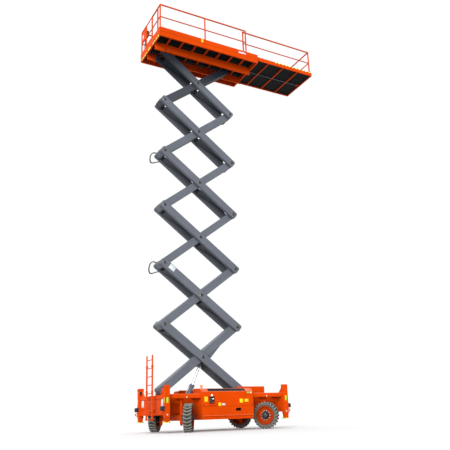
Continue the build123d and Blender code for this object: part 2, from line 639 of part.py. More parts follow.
def tyre(end, side, steer):
    """Flat-sided carcass with slanted bars on both halves; one bar's corner stands on the ground."""
    across = wheel_plane(end, side, steer, mid)
    crown = TYRE_R - BAR_HIGH
    stations = [(half - bead, RIM_R + 22 + 4), (half - 4, RIM_R + 52), (half, crown - SHOULDER - 25),
                (half - SHOULDER, crown)]
    stations = [(-out, r) for out, r in stations] + [(out, r) for out, r in reversed(stations)]
    lowest = 180 + degrees(asin((BAR_SLANT + BAR_HALF + 4) / TYRE_R))
    corner = lowest + 180 / TREAD_SIDES      # a flat lies centred under each bar
    with BuildPart() as body:
        for out, r in stations:
            with BuildSketch(across.offset(out)):
                RegularPolygon(r, TREAD_SIDES, major_radius=False, rotation=corner)
        loft(ruled=True)
        for way in (1, -1):
            with Locations(across.location):
                with PolarLocations(0, TREAD_BARS, start_angle=lowest):
                    add(tread_bar(way))
        with BuildSketch(across.offset(-half)):
            RegularPolygon(RIM_R + SEAT, TREAD_SIDES, major_radius=False, rotation=corner)
        extrude(amount=TYRE_WIDE, mode=Mode.SUBTRACT)
    return body.part


def knuckle(end, side, steer):
    """Block on the kingpin with the wheel's spindle."""
    with BuildPart() as body:
        with BuildSketch(Plane.XY.offset(WHEEL_Z - YOKE_GAP + 1)):
            with Locations((end * AXLE_X, side * KINGPIN_Y)):
                Circle(46)
        extrude(amount=2 * YOKE_GAP - 2)
        with BuildSketch(Plane.XY.offset(WHEEL_Z - YOKE_GAP - YOKE_LUG - 8)):
            with Locations((end * AXLE_X, side * KINGPIN_Y)):
                Circle(KINGPIN_R)
        extrude(amount=2 * (YOKE_GAP + YOKE_LUG + 8))
        with BuildSketch(wheel_plane(end, side, steer, 0)):
            Circle(80)
        extrude(amount=hub_in - 2)
        with BuildSketch(wheel_plane(end, side, steer, 0)):
            Circle(SPINDLE_R)
        extrude(amount=hub_out - 47)
    return body.part


for name, end, side, steer in WHEELS:
    keep(knuckle(end, side, steer), f"knuckle_{name}")
    keep(ring(end, side, steer, hub_profile), f"hub_{name}")
    keep(ring(end, side, steer, rim_profile), f"rim_{name}")
    keep(tyre(end, side, steer), f"tyre_{name}")

# ---------------------------------------------------------------- side pods
split_low, split_high = POD_SPLIT - SPLIT_GAP / 2, POD_SPLIT + SPLIT_GAP / 2
ear_edge = HINGE_Y + HINGE_R + EAR_CLEAR
panel_x = POD_X0 + PANEL_X + PANEL_WIDE / 2
bevel_slope = degrees(atan2(BEVEL_HIGH, BEVEL_DEEP))


def on_side(side, points):
    """Points across a pod on one side of the machine, from (distance from the centre plane, height)."""
    return [(side * y, z) for y, z in points]


def pod_tray(side):
    """Open tray with a ledge along its outer face, and a high inner wall for the hood's hinge rod."""
    low_out = POD_OUT - SILL_BACK
    shell = [(POD_IN, POD_LOW), (low_out, POD_LOW), (low_out, SILL_Z), (POD_OUT + SILL_OUT, SILL_Z),
             (POD_OUT + SILL_OUT, SILL_Z + SILL_HIGH - SILL_OUT), (POD_OUT, SILL_Z + SILL_HIGH),
             (POD_OUT, split_low), (POD_IN + POD_WALL, split_low), (POD_IN + POD_WALL, POD_TOP - 12),
             (HINGE_Y - 30, POD_TOP - 12), (HINGE_Y - 30, POD_TOP), (POD_IN, POD_TOP)]
    hollow = [(POD_IN + POD_WALL, POD_LOW + POD_WALL), (low_out - POD_WALL, POD_LOW + POD_WALL),
              (low_out - POD_WALL, split_low + 1), (POD_IN + POD_WALL, split_low + 1)]
    with BuildPart() as tray:
        with BuildSketch(Plane.YZ.offset(POD_X0)):
            with BuildLine():
                Polyline(*on_side(side, shell), close=True)
            make_face()
        extrude(amount=POD_X1 - POD_X0)
        with BuildSketch(Plane.YZ.offset(POD_X0 + POD_WALL)):
            with BuildLine():
                Polyline(*on_side(side, hollow), close=True)
            make_face()
        extrude(amount=POD_X1 - POD_X0 - 2 * POD_WALL, mode=Mode.SUBTRACT)
        # oval hand hole with its rim
        hole = side_plane(POD_X1 - OVAL_X, OVAL_Z).offset(-side * (POD_OUT - SILL_BACK - POD_WALL - 1))
        with BuildSketch(hole):
            SlotOverall(OVAL_LONG + 2 * OVAL_RIM, OVAL_HIGH + 2 * OVAL_RIM)
        extrude(amount=-side * (POD_WALL + SILL_BACK + 5))
        with BuildSketch(hole):
            SlotOverall(OVAL_LONG, OVAL_HIGH)
        extrude(amount=-side * (POD_WALL + SILL_BACK + 10), mode=Mode.SUBTRACT)
        # straps that hold the tray against the frame's web
        for x in (POD_X0 + 150, POD_X1 - 250):
            block((x, x + 100), (side * WEB_OUT, side * (POD_IN + 2)), (700, 1000))
        # hinge ears and rod
        for x in (POD_X0, POD_X1 - 20):
            block((x, x + 20), (side * (POD_IN + 2), side * (HINGE_Y + HINGE_R)), (POD_TOP - 30, HINGE_Z + HINGE_R))
        with BuildSketch(Plane.YZ.offset(POD_X0)):
            with Locations((side * HINGE_Y, HINGE_Z)):
                Circle(HINGE_ROD_R)
        extrude(amount=POD_X1 - POD_X0)
    return tray.part


def hood_section(wall):
    """Half-profile of the hood, drawn in by the wall's thickness for its inside."""
    foot = split_high - (5 if wall else 0)
    turn = wall * tan(radians(bevel_slope / 2))
    return [(HINGE_Y + wall, foot), (HINGE_Y + wall, POD_TOP - wall),
            (POD_OUT - BEVEL_DEEP - turn, POD_TOP - wall),
            (POD_OUT - wall, POD_TOP - BEVEL_HIGH - turn), (POD_OUT - wall, foot)]


def bevel_plane(side, x):
    """Plane on a hood's bevel: its own X runs up the bevel, its own Y along the machine."""
    rise = Vector(0, -side * BEVEL_DEEP, BEVEL_HIGH).normalized()
    facing = Vector(0, side * BEVEL_HIGH, BEVEL_DEEP).normalized()
    middle = (x, side * (POD_OUT - BEVEL_DEEP / 2), POD_TOP - BEVEL_HIGH / 2)
    return Plane(origin=middle, x_dir=rise, z_dir=facing)


grille_x0, grille_x1 = POD_X0 + GRILLE_X0, POD_X1 - GRILLE_X1
grille_long = grille_x1 - grille_x0
grille_wide = hypot(BEVEL_DEEP, BEVEL_HIGH) - 50


def hood(side):
    """Hood over the tray: bevelled top edge with an air opening, hinged along its inner top edge."""
    x0, x1 = POD_X0 + 26, POD_X1 - 26
    with BuildPart() as shell:
        with BuildSketch(Plane.YZ.offset(POD_X0)):
            with BuildLine():
                Polyline(*on_side(side, hood_section(0)), close=True)
            make_face()
        extrude(amount=POD_X1 - POD_X0)
        # control recess on the right side: its box stands inside the wall
        with BuildSketch(Plane.YZ.offset(POD_X0 + POD_WALL)):
            with BuildLine():
                Polyline(*on_side(side, hood_section(POD_WALL)), close=True)
            make_face()
        extrude(amount=POD_X1 - POD_X0 - 2 * POD_WALL, mode=Mode.SUBTRACT)
        if side < 0:
            wall = POD_WALL
            block((panel_x - PANEL_WIDE / 2 - wall, panel_x + PANEL_WIDE / 2 + wall),
                  (side * (POD_OUT - PANEL_DEEP - wall), side * (POD_OUT - 1)),
                  (PANEL_LOW - wall, PANEL_LOW + PANEL_HIGH + wall))
            block((panel_x - PANEL_WIDE / 2, panel_x + PANEL_WIDE / 2),
                  (side * (POD_OUT - PANEL_DEEP), side * (POD_OUT + 1)),
                  (PANEL_LOW, PANEL_LOW + PANEL_HIGH), mode=Mode.SUBTRACT)
            # sill under the recess
            block((panel_x - PANEL_WIDE / 2 - 15, panel_x + PANEL_WIDE / 2 + 30),
                  (side * (POD_OUT - 2), side * (POD_OUT + 38)), (PANEL_LOW - 34, PANEL_LOW - 12))
        # air opening in the bevel
        with BuildSketch(bevel_plane(side, (grille_x0 + grille_x1) / 2)):
            Rectangle(grille_wide - 2 * GRILLE_LAP, grille_long - 2 * GRILLE_LAP)
        extrude(amount=POD_WALL * 2, both=True, mode=Mode.SUBTRACT)
        # room at the inner side for the hinge ears, and the open inner side itself
        block((POD_X0 - 1, POD_X1 + 1), (side * (HINGE_Y - 1), side * ear_edge),
              (split_high - 5, POD_TOP - 20), mode=Mode.SUBTRACT)
        for xa, xb in ((POD_X0 - 1, x0), (x1, POD_X1 + 1)):
            block((xa, xb), (side * (HINGE_Y - 1), side * ear_edge), (POD_TOP - 40, POD_TOP + 1), mode=Mode.SUBTRACT)
        with BuildSketch(Plane.YZ.offset(x0)):
            with Locations((side * HINGE_Y, HINGE_Z)):
                Circle(HINGE_R)
        extrude(amount=x1 - x0)
        with BuildSketch(Plane.YZ.offset(x0 - 1)):
            with Locations((side * HINGE_Y, HINGE_Z)):
                Circle(HINGE_ROD_R + RUN_CLEAR)
        extrude(amount=x1 - x0 + 2, mode=Mode.SUBTRACT)
    return shell.part


def grille(side):
    """Slotted plate over the hood's air opening."""
    pitch = grille_long / GRILLE_SLOTS
    with BuildPart() as plate:
        with BuildSketch(bevel_plane(side, (grille_x0 + grille_x1) / 2)):
            Rectangle(grille_wide, grille_long)
            with GridLocations(0, pitch, 1, GRILLE_SLOTS):
                Rectangle(grille_wide - 4 * GRILLE_LAP, pitch * 0.6, mode=Mode.SUBTRACT)
        extrude(amount=GRILLE_THICK)
    return plate.part


for name, side in (("right", -1), ("left", 1)):
    keep(pod_tray(side), f"{name}_pod_tray")
    keep(hood(side), f"{name}_hood")
    keep(grille(side), f"{name}_grille")

with BuildPart() as engine:
    block((-700, 200), (620, 1040), (POD_LOW + POD_WALL, 960))
keep(engine.part, "engine")

# ---------------------------------------------------------------- small chassis pieces
with BuildPart() as ladder:
    levels = (LADDER_LOW, *LADDER_JOINTS, LADDER_TOP)
    for side in (1, -1):
        y = LADDER_Y + side * LADDER_HALF
        for i, (low, high) in enumerate(zip(levels, levels[1:])):
            wide = STRINGER_WIDE - i * STRINGER_STEP
            block((LADDER_X - STRINGER_DEEP / 2 + i * 2, LADDER_X + STRINGER_DEEP / 2 - i * 2),
                  (y - wide / 2, y + wide / 2), (low, high + 1 if high < LADDER_TOP else high))
        # clamps at the joints, and brackets to the end beam's flange and cap
        for z in LADDER_JOINTS:
            block((LADDER_X - STRINGER_DEEP / 2 - 6, LADDER_X + STRINGER_DEEP / 2 + 6),
                  (y - STRINGER_WIDE / 2 - 7, y + STRINGER_WIDE / 2 + 7), (z - 45, z + 15))
        for z, reach in ((END_LOW + END_FLANGE / 2, END_LIP), (END_TOP - CAP_HIGH / 2, END_LIP - 20)):
            block((LADDER_X + STRINGER_DEEP / 2 - 1, -END_X - END_BEAM - reach), (y - 20, y + 20), (z - 12, z + 12))
    rungs = int((LADDER_TOP - LADDER_LOW - RUNG_TOP) / RUNG_PITCH)
    for i in range(rungs):
        with BuildSketch(Plane.XZ.offset(-LADDER_Y - LADDER_HALF)):
            with Locations((LADDER_X, LADDER_TOP - RUNG_TOP - i * RUNG_PITCH)):
                RegularPolygon(RUNG_R, 10)
        extrude(amount=2 * LADDER_HALF)
    # flat step at the bottom
    block((LADDER_X - STEP_LONG / 2, LADDER_X + STEP_LONG / 2 - 25),
          (LADDER_Y - LADDER_HALF - 1, LADDER_Y + LADDER_HALF + 1), (LADDER_LOW + 10, LADDER_LOW + 10 + STEP_DEEP))
keep(ladder.part, "ladder")

with BuildPart() as bumpers:
    for end in (1, -1):
        with BuildSketch(Plane.YZ.offset(end * POST_X1)):
            with Locations((post_mid[1], BUMPER_Z), (-post_mid[1], BUMPER_Z)):
                RectangleRounded(BUMPER_WIDE, BUMPER_HIGH, 24)
        extrude(amount=end * BUMPER_OUT, taper=8)
keep(bumpers.part, "bumpers")

with BuildPart() as lamps:
    for end in (1, -1):
        lamp_x = end * (POST_X1 - 12)
        with BuildSketch(Plane.YZ.offset(lamp_x)):
            with Locations(*[(side * (POST_Y0 - LAMP_WIDE / 2), LAMP_Z) for side in (1, -1)]):
                RectangleRounded(LAMP_WIDE, LAMP_HIGH, 10)
        extrude(amount=-end * LAMP_DEEP)
        with BuildSketch(Plane.YZ.offset(lamp_x)):
            with Locations(*[(side * (POST_Y0 - LAMP_WIDE / 2), LAMP_Z) for side in (1, -1)]):
                Circle(LAMP_WIDE * 0.36)
        extrude(amount=end * 10, taper=20)
keep(lamps.part, "lamps")

# beacon on its stalk: a ribbed base and a lens in three steps
beacon_at = (-680, -POD_IN - 26)
beacon_steps = [(0, 24), (58, 24), (58, 48), (70, 48), (70, 44), (120, 40), (138, 26)]
with BuildPart() as beacon:
    with BuildSketch(Plane(origin=(*beacon_at, POD_TOP), x_dir=(1, 0, 0), z_dir=(0, -1, 0))):
        with BuildLine():
            Polyline((0, 0), *[(r, z) for z, r in beacon_steps], (0, beacon_steps[-1][0]), close=True)
        make_face()
    revolve(axis=Axis((*beacon_at, 0), (0, 0, 1)))
keep(beacon.part, "beacon")

# ---------------------------------------------------------------- platform deck
keel_out = TRACK_OUT
floor_z = DECK_Z + BEAM_TIER
toe_z = floor_z + TIER_GROOVE
rail_y = DECK_HALF - TOE_WALL - RAIL_TUBE
with BuildPart() as deck:
    # two-tier side: beam, groove, and the toe board above it
    for side in (1, -1):
        tiers = [(DECK_HALF - SIDE_WALL, DECK_Z), (DECK_HALF, DECK_Z), (DECK_HALF, floor_z),
                 (DECK_HALF - GROOVE_DEEP, floor_z), (DECK_HALF - GROOVE_DEEP, toe_z), (DECK_HALF, toe_z),
                 (DECK_HALF, toe_z + TOE_TIER), (DECK_HALF - TOE_WALL, toe_z + TOE_TIER),
                 (DECK_HALF - TOE_WALL, floor_z), (DECK_HALF - SIDE_WALL, floor_z)]
        with BuildSketch(Plane.YZ.offset(DECK_X0)):
            with BuildLine():
                Polyline(*on_side(side, tiers), close=True)
            make_face()
        extrude(amount=DECK_X1 - DECK_X0)
    # end beams
    for x0, x1 in ((DECK_X0, DECK_X0 + SIDE_WALL), (DECK_X1 - SIDE_WALL, DECK_X1)):
        block((x0, x1), (-DECK_HALF + 5, DECK_HALF - 5), (DECK_Z, floor_z - 1))
    block((DECK_X0, DECK_X0 + TOE_WALL), (-DECK_HALF + 5, DECK_HALF - 5), (floor_z - 2, floor_z + TOE_TIER))
    # ribs across, shallow enough for the arms' noses to pass under
    for i in range(DECK_RIBS):
        x = DECK_X0 + (i + 1) * (DECK_X1 - DECK_X0) / (DECK_RIBS + 1)
        block((x - RIB_HALF, x + RIB_HALF), (-DECK_HALF + 5, DECK_HALF - 5), (floor_z - RIB_DEEP, floor_z - FLOOR_THICK))
keep(deck.part, "platform_frame")

# long channels under the ribs, open towards the stack: the upper rollers run in them
with BuildPart() as keels:
    for side in (1, -1):
        web, lip = keel_out - KEEL_WALL, ROLLER_Y0 - 3
        channel = [(keel_out, TOP_Z - TRACK_HALF - KEEL_WALL), (keel_out, floor_z - RIB_DEEP),
                   (web, floor_z - RIB_DEEP), (web, TOP_Z + TRACK_HALF + KEEL_WALL),
                   (lip, TOP_Z + TRACK_HALF + KEEL_WALL), (lip, TOP_Z + TRACK_HALF), (web, TOP_Z + TRACK_HALF),
                   (web, TOP_Z - TRACK_HALF), (lip, TOP_Z - TRACK_HALF), (lip, TOP_Z - TRACK_HALF - KEEL_WALL)]
        with BuildSketch(Plane.YZ.offset(DECK_X0 + SIDE_WALL)):
            with BuildLine():
                Polyline(*on_side(side, channel), close=True)
            make_face()
        extrude(amount=DECK_X1 - DECK_X0 - 2 * SIDE_WALL)
    # bored for the top left pin
    with BuildSketch(side_plane(PIVOT_X, TOP_Z)):
        Circle(PIN_R + RUN_CLEAR)
    extrude(amount=keel_out + 5, both=True, mode=Mode.SUBTRACT)
keep(keels.part, "platform_keels")

with BuildPart() as floor:
    block((DECK_X0 + SIDE_WALL + 1, DECK_X1 - SIDE_WALL - 1),
          (-DECK_HALF + SIDE_WALL + 1, DECK_HALF - SIDE_WALL - 1), (floor_z - FLOOR_THICK, floor_z))
keep(floor.part, "platform_floor")

rail_top = DECK_Z + RAIL_HIGH
main_rail_x1 = DECK_X1 - 500


def side_rails(x0, x1, y, low, posts):
    """Guard rail along one side: posts with a top and a middle tube."""
    for x in posts:
        block((x, x + RAIL_TUBE), (y, y + RAIL_TUBE), (low, rail_top - 1))
    block((x0, x1), (y, y + RAIL_TUBE), (rail_top - RAIL_TUBE, rail_top))
    z = DECK_Z + MID_RAIL
    block((x0 + 1, x1 - 1), (y + 5, y + RAIL_TUBE - 5), (z - 30, z))


rail_x0 = DECK_X0 + TOE_WALL + 1
gate_x = rail_x0 + RAIL_TUBE / 2
gate_pin_y = GATE_Y0 + GATE_GAP + 16
gate_low = floor_z + 250
lug_low, lug_high, lug_thick = gate_low + 60, rail_top - 260, 20
with BuildPart() as rails:
    x0 = rail_x0
    posts = [x0, x0 + (main_rail_x1 - x0) / 2, main_rail_x1 - RAIL_TUBE]
    for y in (rail_y, -rail_y - RAIL_TUBE):
        side_rails(x0, main_rail_x1, y, floor_z, posts)
    # end: posts, rails each side of the gate
    for y in (-750, GATE_Y0 - RAIL_TUBE, GATE_Y1):
        block((x0, x0 + RAIL_TUBE), (y, y + RAIL_TUBE), (floor_z, rail_top - 1))
    for y0, y1 in ((-rail_y - 5, GATE_Y0), (GATE_Y1, rail_y + 5)):
        block((x0, x0 + RAIL_TUBE), (y0, y1), (rail_top - RAIL_TUBE, rail_top))
        block((x0 + 5, x0 + RAIL_TUBE - 5), (y0, y1), (DECK_Z + MID_RAIL - 30, DECK_Z + MID_RAIL))
    # sheet panel in the corner beyond the gate
    block((x0 + 14, x0 + 26), (GATE_Y1 + RAIL_TUBE - 1, rail_y + 1), (DECK_Z + MID_RAIL - 1, rail_top - RAIL_TUBE + 1))
    # lugs for the gate's hinge pins
    for z in (lug_low, lug_high):
        block((x0, x0 + RAIL_TUBE), (GATE_Y0 - 2, gate_pin_y + 18), (z, z + lug_thick))
    with BuildSketch(Plane.XY.offset(lug_low - 1)):
        with Locations((gate_x, gate_pin_y)):
            Circle(8 + RUN_CLEAR)
    extrude(amount=lug_high + lug_thick + 2 - lug_low, mode=Mode.SUBTRACT)
keep(rails.part, "platform_rails")

with BuildPart() as gate:
    g0, g1 = gate_pin_y, GATE_Y1 - GATE_GAP
    with BuildSketch(Plane.XY.offset(lug_low - 6)):
        with Locations((gate_x, gate_pin_y)):
            Circle(8)
    extrude(amount=lug_high + lug_thick + 12 - lug_low)
    for z0, z1 in ((gate_low, lug_low - SEAT), (lug_low + lug_thick + SEAT, lug_high - SEAT),
                   (lug_high + lug_thick + SEAT, rail_top)):
        with BuildSketch(Plane.XY.offset(z0)):
            with Locations((gate_x, gate_pin_y)):
                Circle(15)
        extrude(amount=z1 - z0)
    block((gate_x - 15, gate_x + 15), (g1 - 30, g1), (gate_low, rail_top - 1))
    for z in (gate_low, DECK_Z + MID_RAIL - 30, rail_top - 30):
        block((gate_x - 14, gate_x + 14), (g0, g1 - 1), (z, z + 30))
keep(gate.part, "gate")

with BuildPart() as control_box:
    block((rail_x0 + 26 + SEAT, rail_x0 + 26 + 160), (rail_y - 320, rail_y - 80), (rail_top - 330, rail_top - 90))
keep(control_box.part, "control_box")

# ---------------------------------------------------------------- extension deck
ext_x1 = DECK_X1 + EXT_OUT
ext_x0 = ext_x1 - EXT_LONG
ext_z = floor_z + SEAT
ext_floor_z = ext_z + EXT_FLOOR
ext_rod_z = ext_z + (EXT_FLOOR - FLOOR_THICK) / 2
with BuildPart() as ext_frame:
    for side in (1, -1):
        block((ext_x0, ext_x1), (side * (EXT_HALF - 30), side * EXT_HALF), (ext_z, ext_z + EXT_DEEP))
    for x0, x1 in ((ext_x0, ext_x0 + 30), (ext_x1 - 30, ext_x1)):
        block((x0, x1), (-EXT_HALF + 5, EXT_HALF - 5), (ext_z + 1, ext_z + EXT_FLOOR + 6))
    for i in range(EXT_RIBS):
        x = ext_x0 + (i + 1) * EXT_LONG / (EXT_RIBS + 1)
        block((x - EXT_RIB_HALF, x + EXT_RIB_HALF), (-EXT_HALF + 5, EXT_HALF - 5), (ext_z + 4, ext_floor_z - FLOOR_THICK))
    # bracket of the extension cylinder, and its way through the ribs
    block((ext_x1 - EXT_ROD_END, ext_x1 - EXT_ROD_END + 30), (-60, 60), (ext_z + 2, ext_floor_z - FLOOR_THICK))
    block((ext_x1 - EXT_ROD_END, ext_x1 - 28), (-20, 20), (ext_floor_z - FLOOR_THICK - 10, ext_floor_z - FLOOR_THICK))
    with BuildSketch(Plane.YZ.offset(ext_x0 + EXT_ROD_BACK - 1)):
        with Locations((0, ext_rod_z)):
            Circle(EXT_ROD_R + SEAT)
    extrude(amount=ext_x1 - EXT_ROD_END - ext_x0 - EXT_ROD_BACK + 1, mode=Mode.SUBTRACT)
keep(ext_frame.part, "extension_frame")

with BuildPart() as ext_rod:
    with BuildSketch(Plane.YZ.offset(ext_x0 + EXT_ROD_BACK)):
        with Locations((0, ext_rod_z)):
            Circle(EXT_ROD_R)
    extrude(amount=ext_x1 - EXT_ROD_END - ext_x0 - EXT_ROD_BACK)
keep(ext_rod.part, "extension_cylinder")

with BuildPart() as ext_floor:
    block((ext_x0 + 31, ext_x1 - 31), (-EXT_HALF + 31, EXT_HALF - 31), (ext_floor_z - FLOOR_THICK, ext_floor_z))
keep(ext_floor.part, "extension_floor")

with BuildPart() as ext_rails:
    y1 = EXT_HALF - EXT_RAIL_IN
    first, last = ext_x0 + EXT_RAIL_BACK, ext_x1 - 45 - RAIL_TUBE
    for y in (y1 - RAIL_TUBE, -y1):
        side_rails(first, last + RAIL_TUBE, y, ext_floor_z, [first, last])
    for z, tube in ((rail_top - RAIL_TUBE, RAIL_TUBE), (DECK_Z + MID_RAIL - 30, 30)):
        block((last + (RAIL_TUBE - tube) / 2, last + (RAIL_TUBE + tube) / 2), (-y1 + 1, y1 - 1), (z, z + tube))
keep(ext_rails.part, "extension_rails")
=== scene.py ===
# %% [markdown]
# # Dressing a rough-terrain scissor lift
#
# The machine stands raised with its deck run out and its wheels steered.  Its steel is already built,
# at its real size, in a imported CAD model.  These cells give every surface its finish and add what a
# welder, a fitter and a sign painter would add: tread, bolts, hoses, reflectors and stripes.
#
# Everything is in metres, with +Z up, the ladder at -X and the extension deck at +X.

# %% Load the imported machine
import json
import math

import bmesh
import bpy
import numpy as np
from mathutils import Matrix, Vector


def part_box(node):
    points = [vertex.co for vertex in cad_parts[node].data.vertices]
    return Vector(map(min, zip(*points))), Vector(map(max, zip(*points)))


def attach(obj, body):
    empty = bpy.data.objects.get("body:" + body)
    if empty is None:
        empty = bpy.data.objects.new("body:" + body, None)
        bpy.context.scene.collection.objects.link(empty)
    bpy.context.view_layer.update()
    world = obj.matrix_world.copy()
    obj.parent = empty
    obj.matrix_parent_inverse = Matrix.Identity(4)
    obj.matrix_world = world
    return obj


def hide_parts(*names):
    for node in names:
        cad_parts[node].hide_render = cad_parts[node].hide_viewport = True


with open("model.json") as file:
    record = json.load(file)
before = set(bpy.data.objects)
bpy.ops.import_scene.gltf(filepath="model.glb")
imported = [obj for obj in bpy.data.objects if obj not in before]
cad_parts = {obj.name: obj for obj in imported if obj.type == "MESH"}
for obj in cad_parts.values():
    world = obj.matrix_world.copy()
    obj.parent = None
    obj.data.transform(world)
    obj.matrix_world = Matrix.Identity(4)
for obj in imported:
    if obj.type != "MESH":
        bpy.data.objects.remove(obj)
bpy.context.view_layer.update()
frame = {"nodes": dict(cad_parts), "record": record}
nodes = frame["nodes"]

# %% [markdown]
# ## Colour
#
# Paint makers and screens give colours as sRGB hex values, and the renderer works with linear light.
# One function turns the first into the second, and every colour in this file goes through it.

# %% Hex colours
def hex_colour(code):
    """Linear RGBA: each sRGB channel c becomes c/12.92 when dark, or ((c + 0.055)/1.055)^2.4."""
    srgb = np.array([int(code[i:i + 2], 16) for i in (0, 2, 4)]) / 255
    linear = np.where(srgb <= 0.04045, srgb / 12.92, ((srgb + 0.055) / 1.055) ** 2.4)
    return (*linear.tolist(), 1.0)


print("a middle grey of 808080 gives back", round(hex_colour("808080")[0], 3), "of the light")

# %% [markdown]
# ## Camera
#
# The lift is seen from the ground, from the right and a little from the ladder's end, with the
# camera tipped up so that all of the tall stack fits.  A camera could be aimed with a constraint, but
# that can't hold a roll.  So its three axes are worked out from heading, pitch and roll, and become the
# columns of its matrix.

# %% Place the camera
CAMERA_AT = np.array([-9.28, -18.14, 0.48])
HEADING, PITCH, ROLL = np.radians([28.78, 18.02, -1.86])
LENS, SENSOR, FAR = 46.6, 36.0, 400.0

ahead = np.array([np.sin(HEADING) * np.cos(PITCH), np.cos(HEADING) * np.cos(PITCH), np.sin(PITCH)])
level = np.array([np.cos(HEADING), -np.sin(HEADING), 0.0])
upright = np.cross(level, ahead)
across = level * np.cos(ROLL) + upright * np.sin(ROLL)
upward = upright * np.cos(ROLL) - level * np.sin(ROLL)

camera = bpy.data.objects.new("camera", bpy.data.cameras.new("camera"))
bpy.context.scene.collection.objects.link(camera)
camera.data.lens = LENS
camera.data.sensor_width = SENSOR
camera.data.clip_end = FAR
pose = np.eye(4)
pose[:3, :3] = np.column_stack([across, upward, -ahead])
pose[:3, 3] = CAMERA_AT
camera.matrix_world = Matrix(pose.tolist())
bpy.context.scene.camera = camera
print("the camera is", round(float(np.hypot(*CAMERA_AT[:2])), 1), "m away")

# %% [markdown]
# ## Materials
#
# Every finish is a small tree of nodes round one Principled shader.  One helper adds a node, sets its
# properties and inputs, and joins its links, so that each tree reads like a list.  Noise keeps mostly
# to the middle of its range, and a Map Range node stretches that middle to the values wanted: the last
# helper only writes down such a node's five inputs.

# %% A helper that adds one node
def add(tree, kind, inputs=None, **settings):
    """Add a node; an input's value may be a number, a colour or another node's output socket."""
    node = tree.nodes.new("ShaderNode" + kind)
    for key, value in settings.items():
        setattr(node, key, value)
    for key, value in (inputs or {}).items():
        if isinstance(value, bpy.types.NodeSocket):
            tree.links.new(value, node.inputs[key])
        else:
            node.inputs[key].default_value = value
    return node


def new_material(name):
    """An empty node material, its tree, and its object coordinates in metres."""
    material = bpy.data.materials.new(name)
    material.use_nodes = True
    tree = material.node_tree
    tree.nodes.clear()
    return material, tree, add(tree, "TexCoord").outputs["Object"]


def span(value, low, high, dark=0.3, light=0.7):
    """Inputs that carry dark to low and light to high, in a straight line between them."""
    return {"Value": value, "From Min": dark, "From Max": light, "To Min": low, "To Max": high}


print("helpers for node trees are ready")

# %% [markdown]
# ### Sprayed enamel
#
# Machine makers spray two-pack enamel over primer.  It fades a little in broad patches, it mirrors the
# sky only at a glancing angle, dust settles on faces that look up, and grime climbs the lowest three
# quarters of a metre.  Some arms get painted shade as well.  One flat colour would look like plastic,
# and a painted image would need unwrapping, so the wear and the painted shade are worked out from
# where a point is and which way its face looks.

# %% Enamel
# Both colours are painted shade: the first between the outer bars, the second under the platform.
SHADE, DECK_SHADE = "101216", "0B1016"


def enamel(name, paint, dust, grime, roughness, dusty, deck_shade_heights=None, inside=None):
    """Coats laid one over another: dust = (how far a face looks up)·patches, grime = (how low)·patches,
    painted shade inside |y| = inside, and painted shade of the platform rising through two given heights."""
    material, tree, where = new_material(name)
    # The fading has patches about 770 mm wide, and dust and grime break up at about 170 mm.
    fading = {"Vector": where, "Scale": 1.3, "Detail": 4.0, "Roughness": 0.6}
    patching = {"Vector": where, "Scale": 6.0, "Detail": 6.0, "Roughness": 0.7}
    fade = add(tree, "TexNoise", fading).outputs["Fac"]
    patches = add(tree, "TexNoise", patching).outputs["Fac"]
    bright = add(tree, "MapRange", span(fade, 0.9, 1.06)).outputs[0]
    colour = add(tree, "HueSaturation", {"Color": hex_colour(paint), "Value": bright}).outputs["Color"]
    place = add(tree, "SeparateXYZ", {"Vector": where}).outputs
    up = add(tree, "SeparateXYZ", {"Vector": add(tree, "NewGeometry").outputs["Normal"]}).outputs["Z"]
    lying = add(tree, "MapRange", span(up, 0.0, dusty, 0.5, 0.95)).outputs[0]
    low = add(tree, "MapRange", span(place["Z"], 0.5, 0.0, 0.25, 0.75)).outputs[0]
    splash = add(tree, "MapRange", span(patches, 0.0, 1.0, 0.45, 0.75)).outputs[0]
    coats = [(add(tree, "Math", {0: lying, 1: patches}, operation="MULTIPLY").outputs[0], dust),
             (add(tree, "Math", {0: low, 1: splash}, operation="MULTIPLY").outputs[0], grime)]
    # Painted shade between the outer bars: darker where |y| is under inside.
    if inside:
        off = add(tree, "Math", {0: place["Y"]}, operation="ABSOLUTE").outputs[0]
        coats.append((add(tree, "MapRange", span(off, 0.55, 0.0, inside, inside + 0.015)).outputs[0], SHADE))
    # Painted shade of the platform over the top stage: darker between the two given heights.
    if deck_shade_heights:
        coats.append((add(tree, "MapRange", span(place["Z"], 0.0, 0.85, *deck_shade_heights)).outputs[0], DECK_SHADE))
    for amount, coat in coats:
        colour = add(tree, "Mix", {"Factor": amount, "A": colour, "B": hex_colour(coat)},
                     data_type="RGBA").outputs["Result"]
    rough = add(tree, "MapRange", span(patches, roughness - 0.05, roughness + 0.1)).outputs[0]
    shader = add(tree, "BsdfPrincipled", {"Base Color": colour, "Roughness": rough,
                                          "Specular IOR Level": 0.04, "Specular Tint": hex_colour(paint)})
    add(tree, "OutputMaterial", {"Surface": shader.outputs[0]})
    return material


# Two-pack enamel, sprayed: an even, deep colour with almost no mirror in it.
ENAMEL_ORANGE = enamel("safety_orange_enamel", "A63404", "C8A888", "3A180C", 0.4, 0.5)
# The same enamel on the wheels, dulled and browned by the road, and darker: painted shade of the arches.
WHEEL_ORANGE = enamel("grimed_and_shaded_wheel_enamel", "7E2806", "6E4630", "2A1810", 0.55, 0.3)
# Slate grey on the arms: cool, and paler where dust lies on the top faces.
SLATE = ("4F5259", "868A92", "2E2E2E", 0.42, 0.5)
BETWEEN_BARS = 0.205
ENAMEL_GREY = enamel("slate_grey_enamel", *SLATE)
# Painted shade: on the outer arms' inward faces, which see little sky, and on the top stage under the
# platform.
TOP_ARM_GREY = enamel("platform_shaded_slate_grey_enamel", *SLATE, deck_shade_heights=(12.5, 13.5), inside=BETWEEN_BARS)
OUTER_ARM_GREY = enamel("shaded_slate_grey_enamel", *SLATE, inside=BETWEEN_BARS)
print("five enamels mixed")

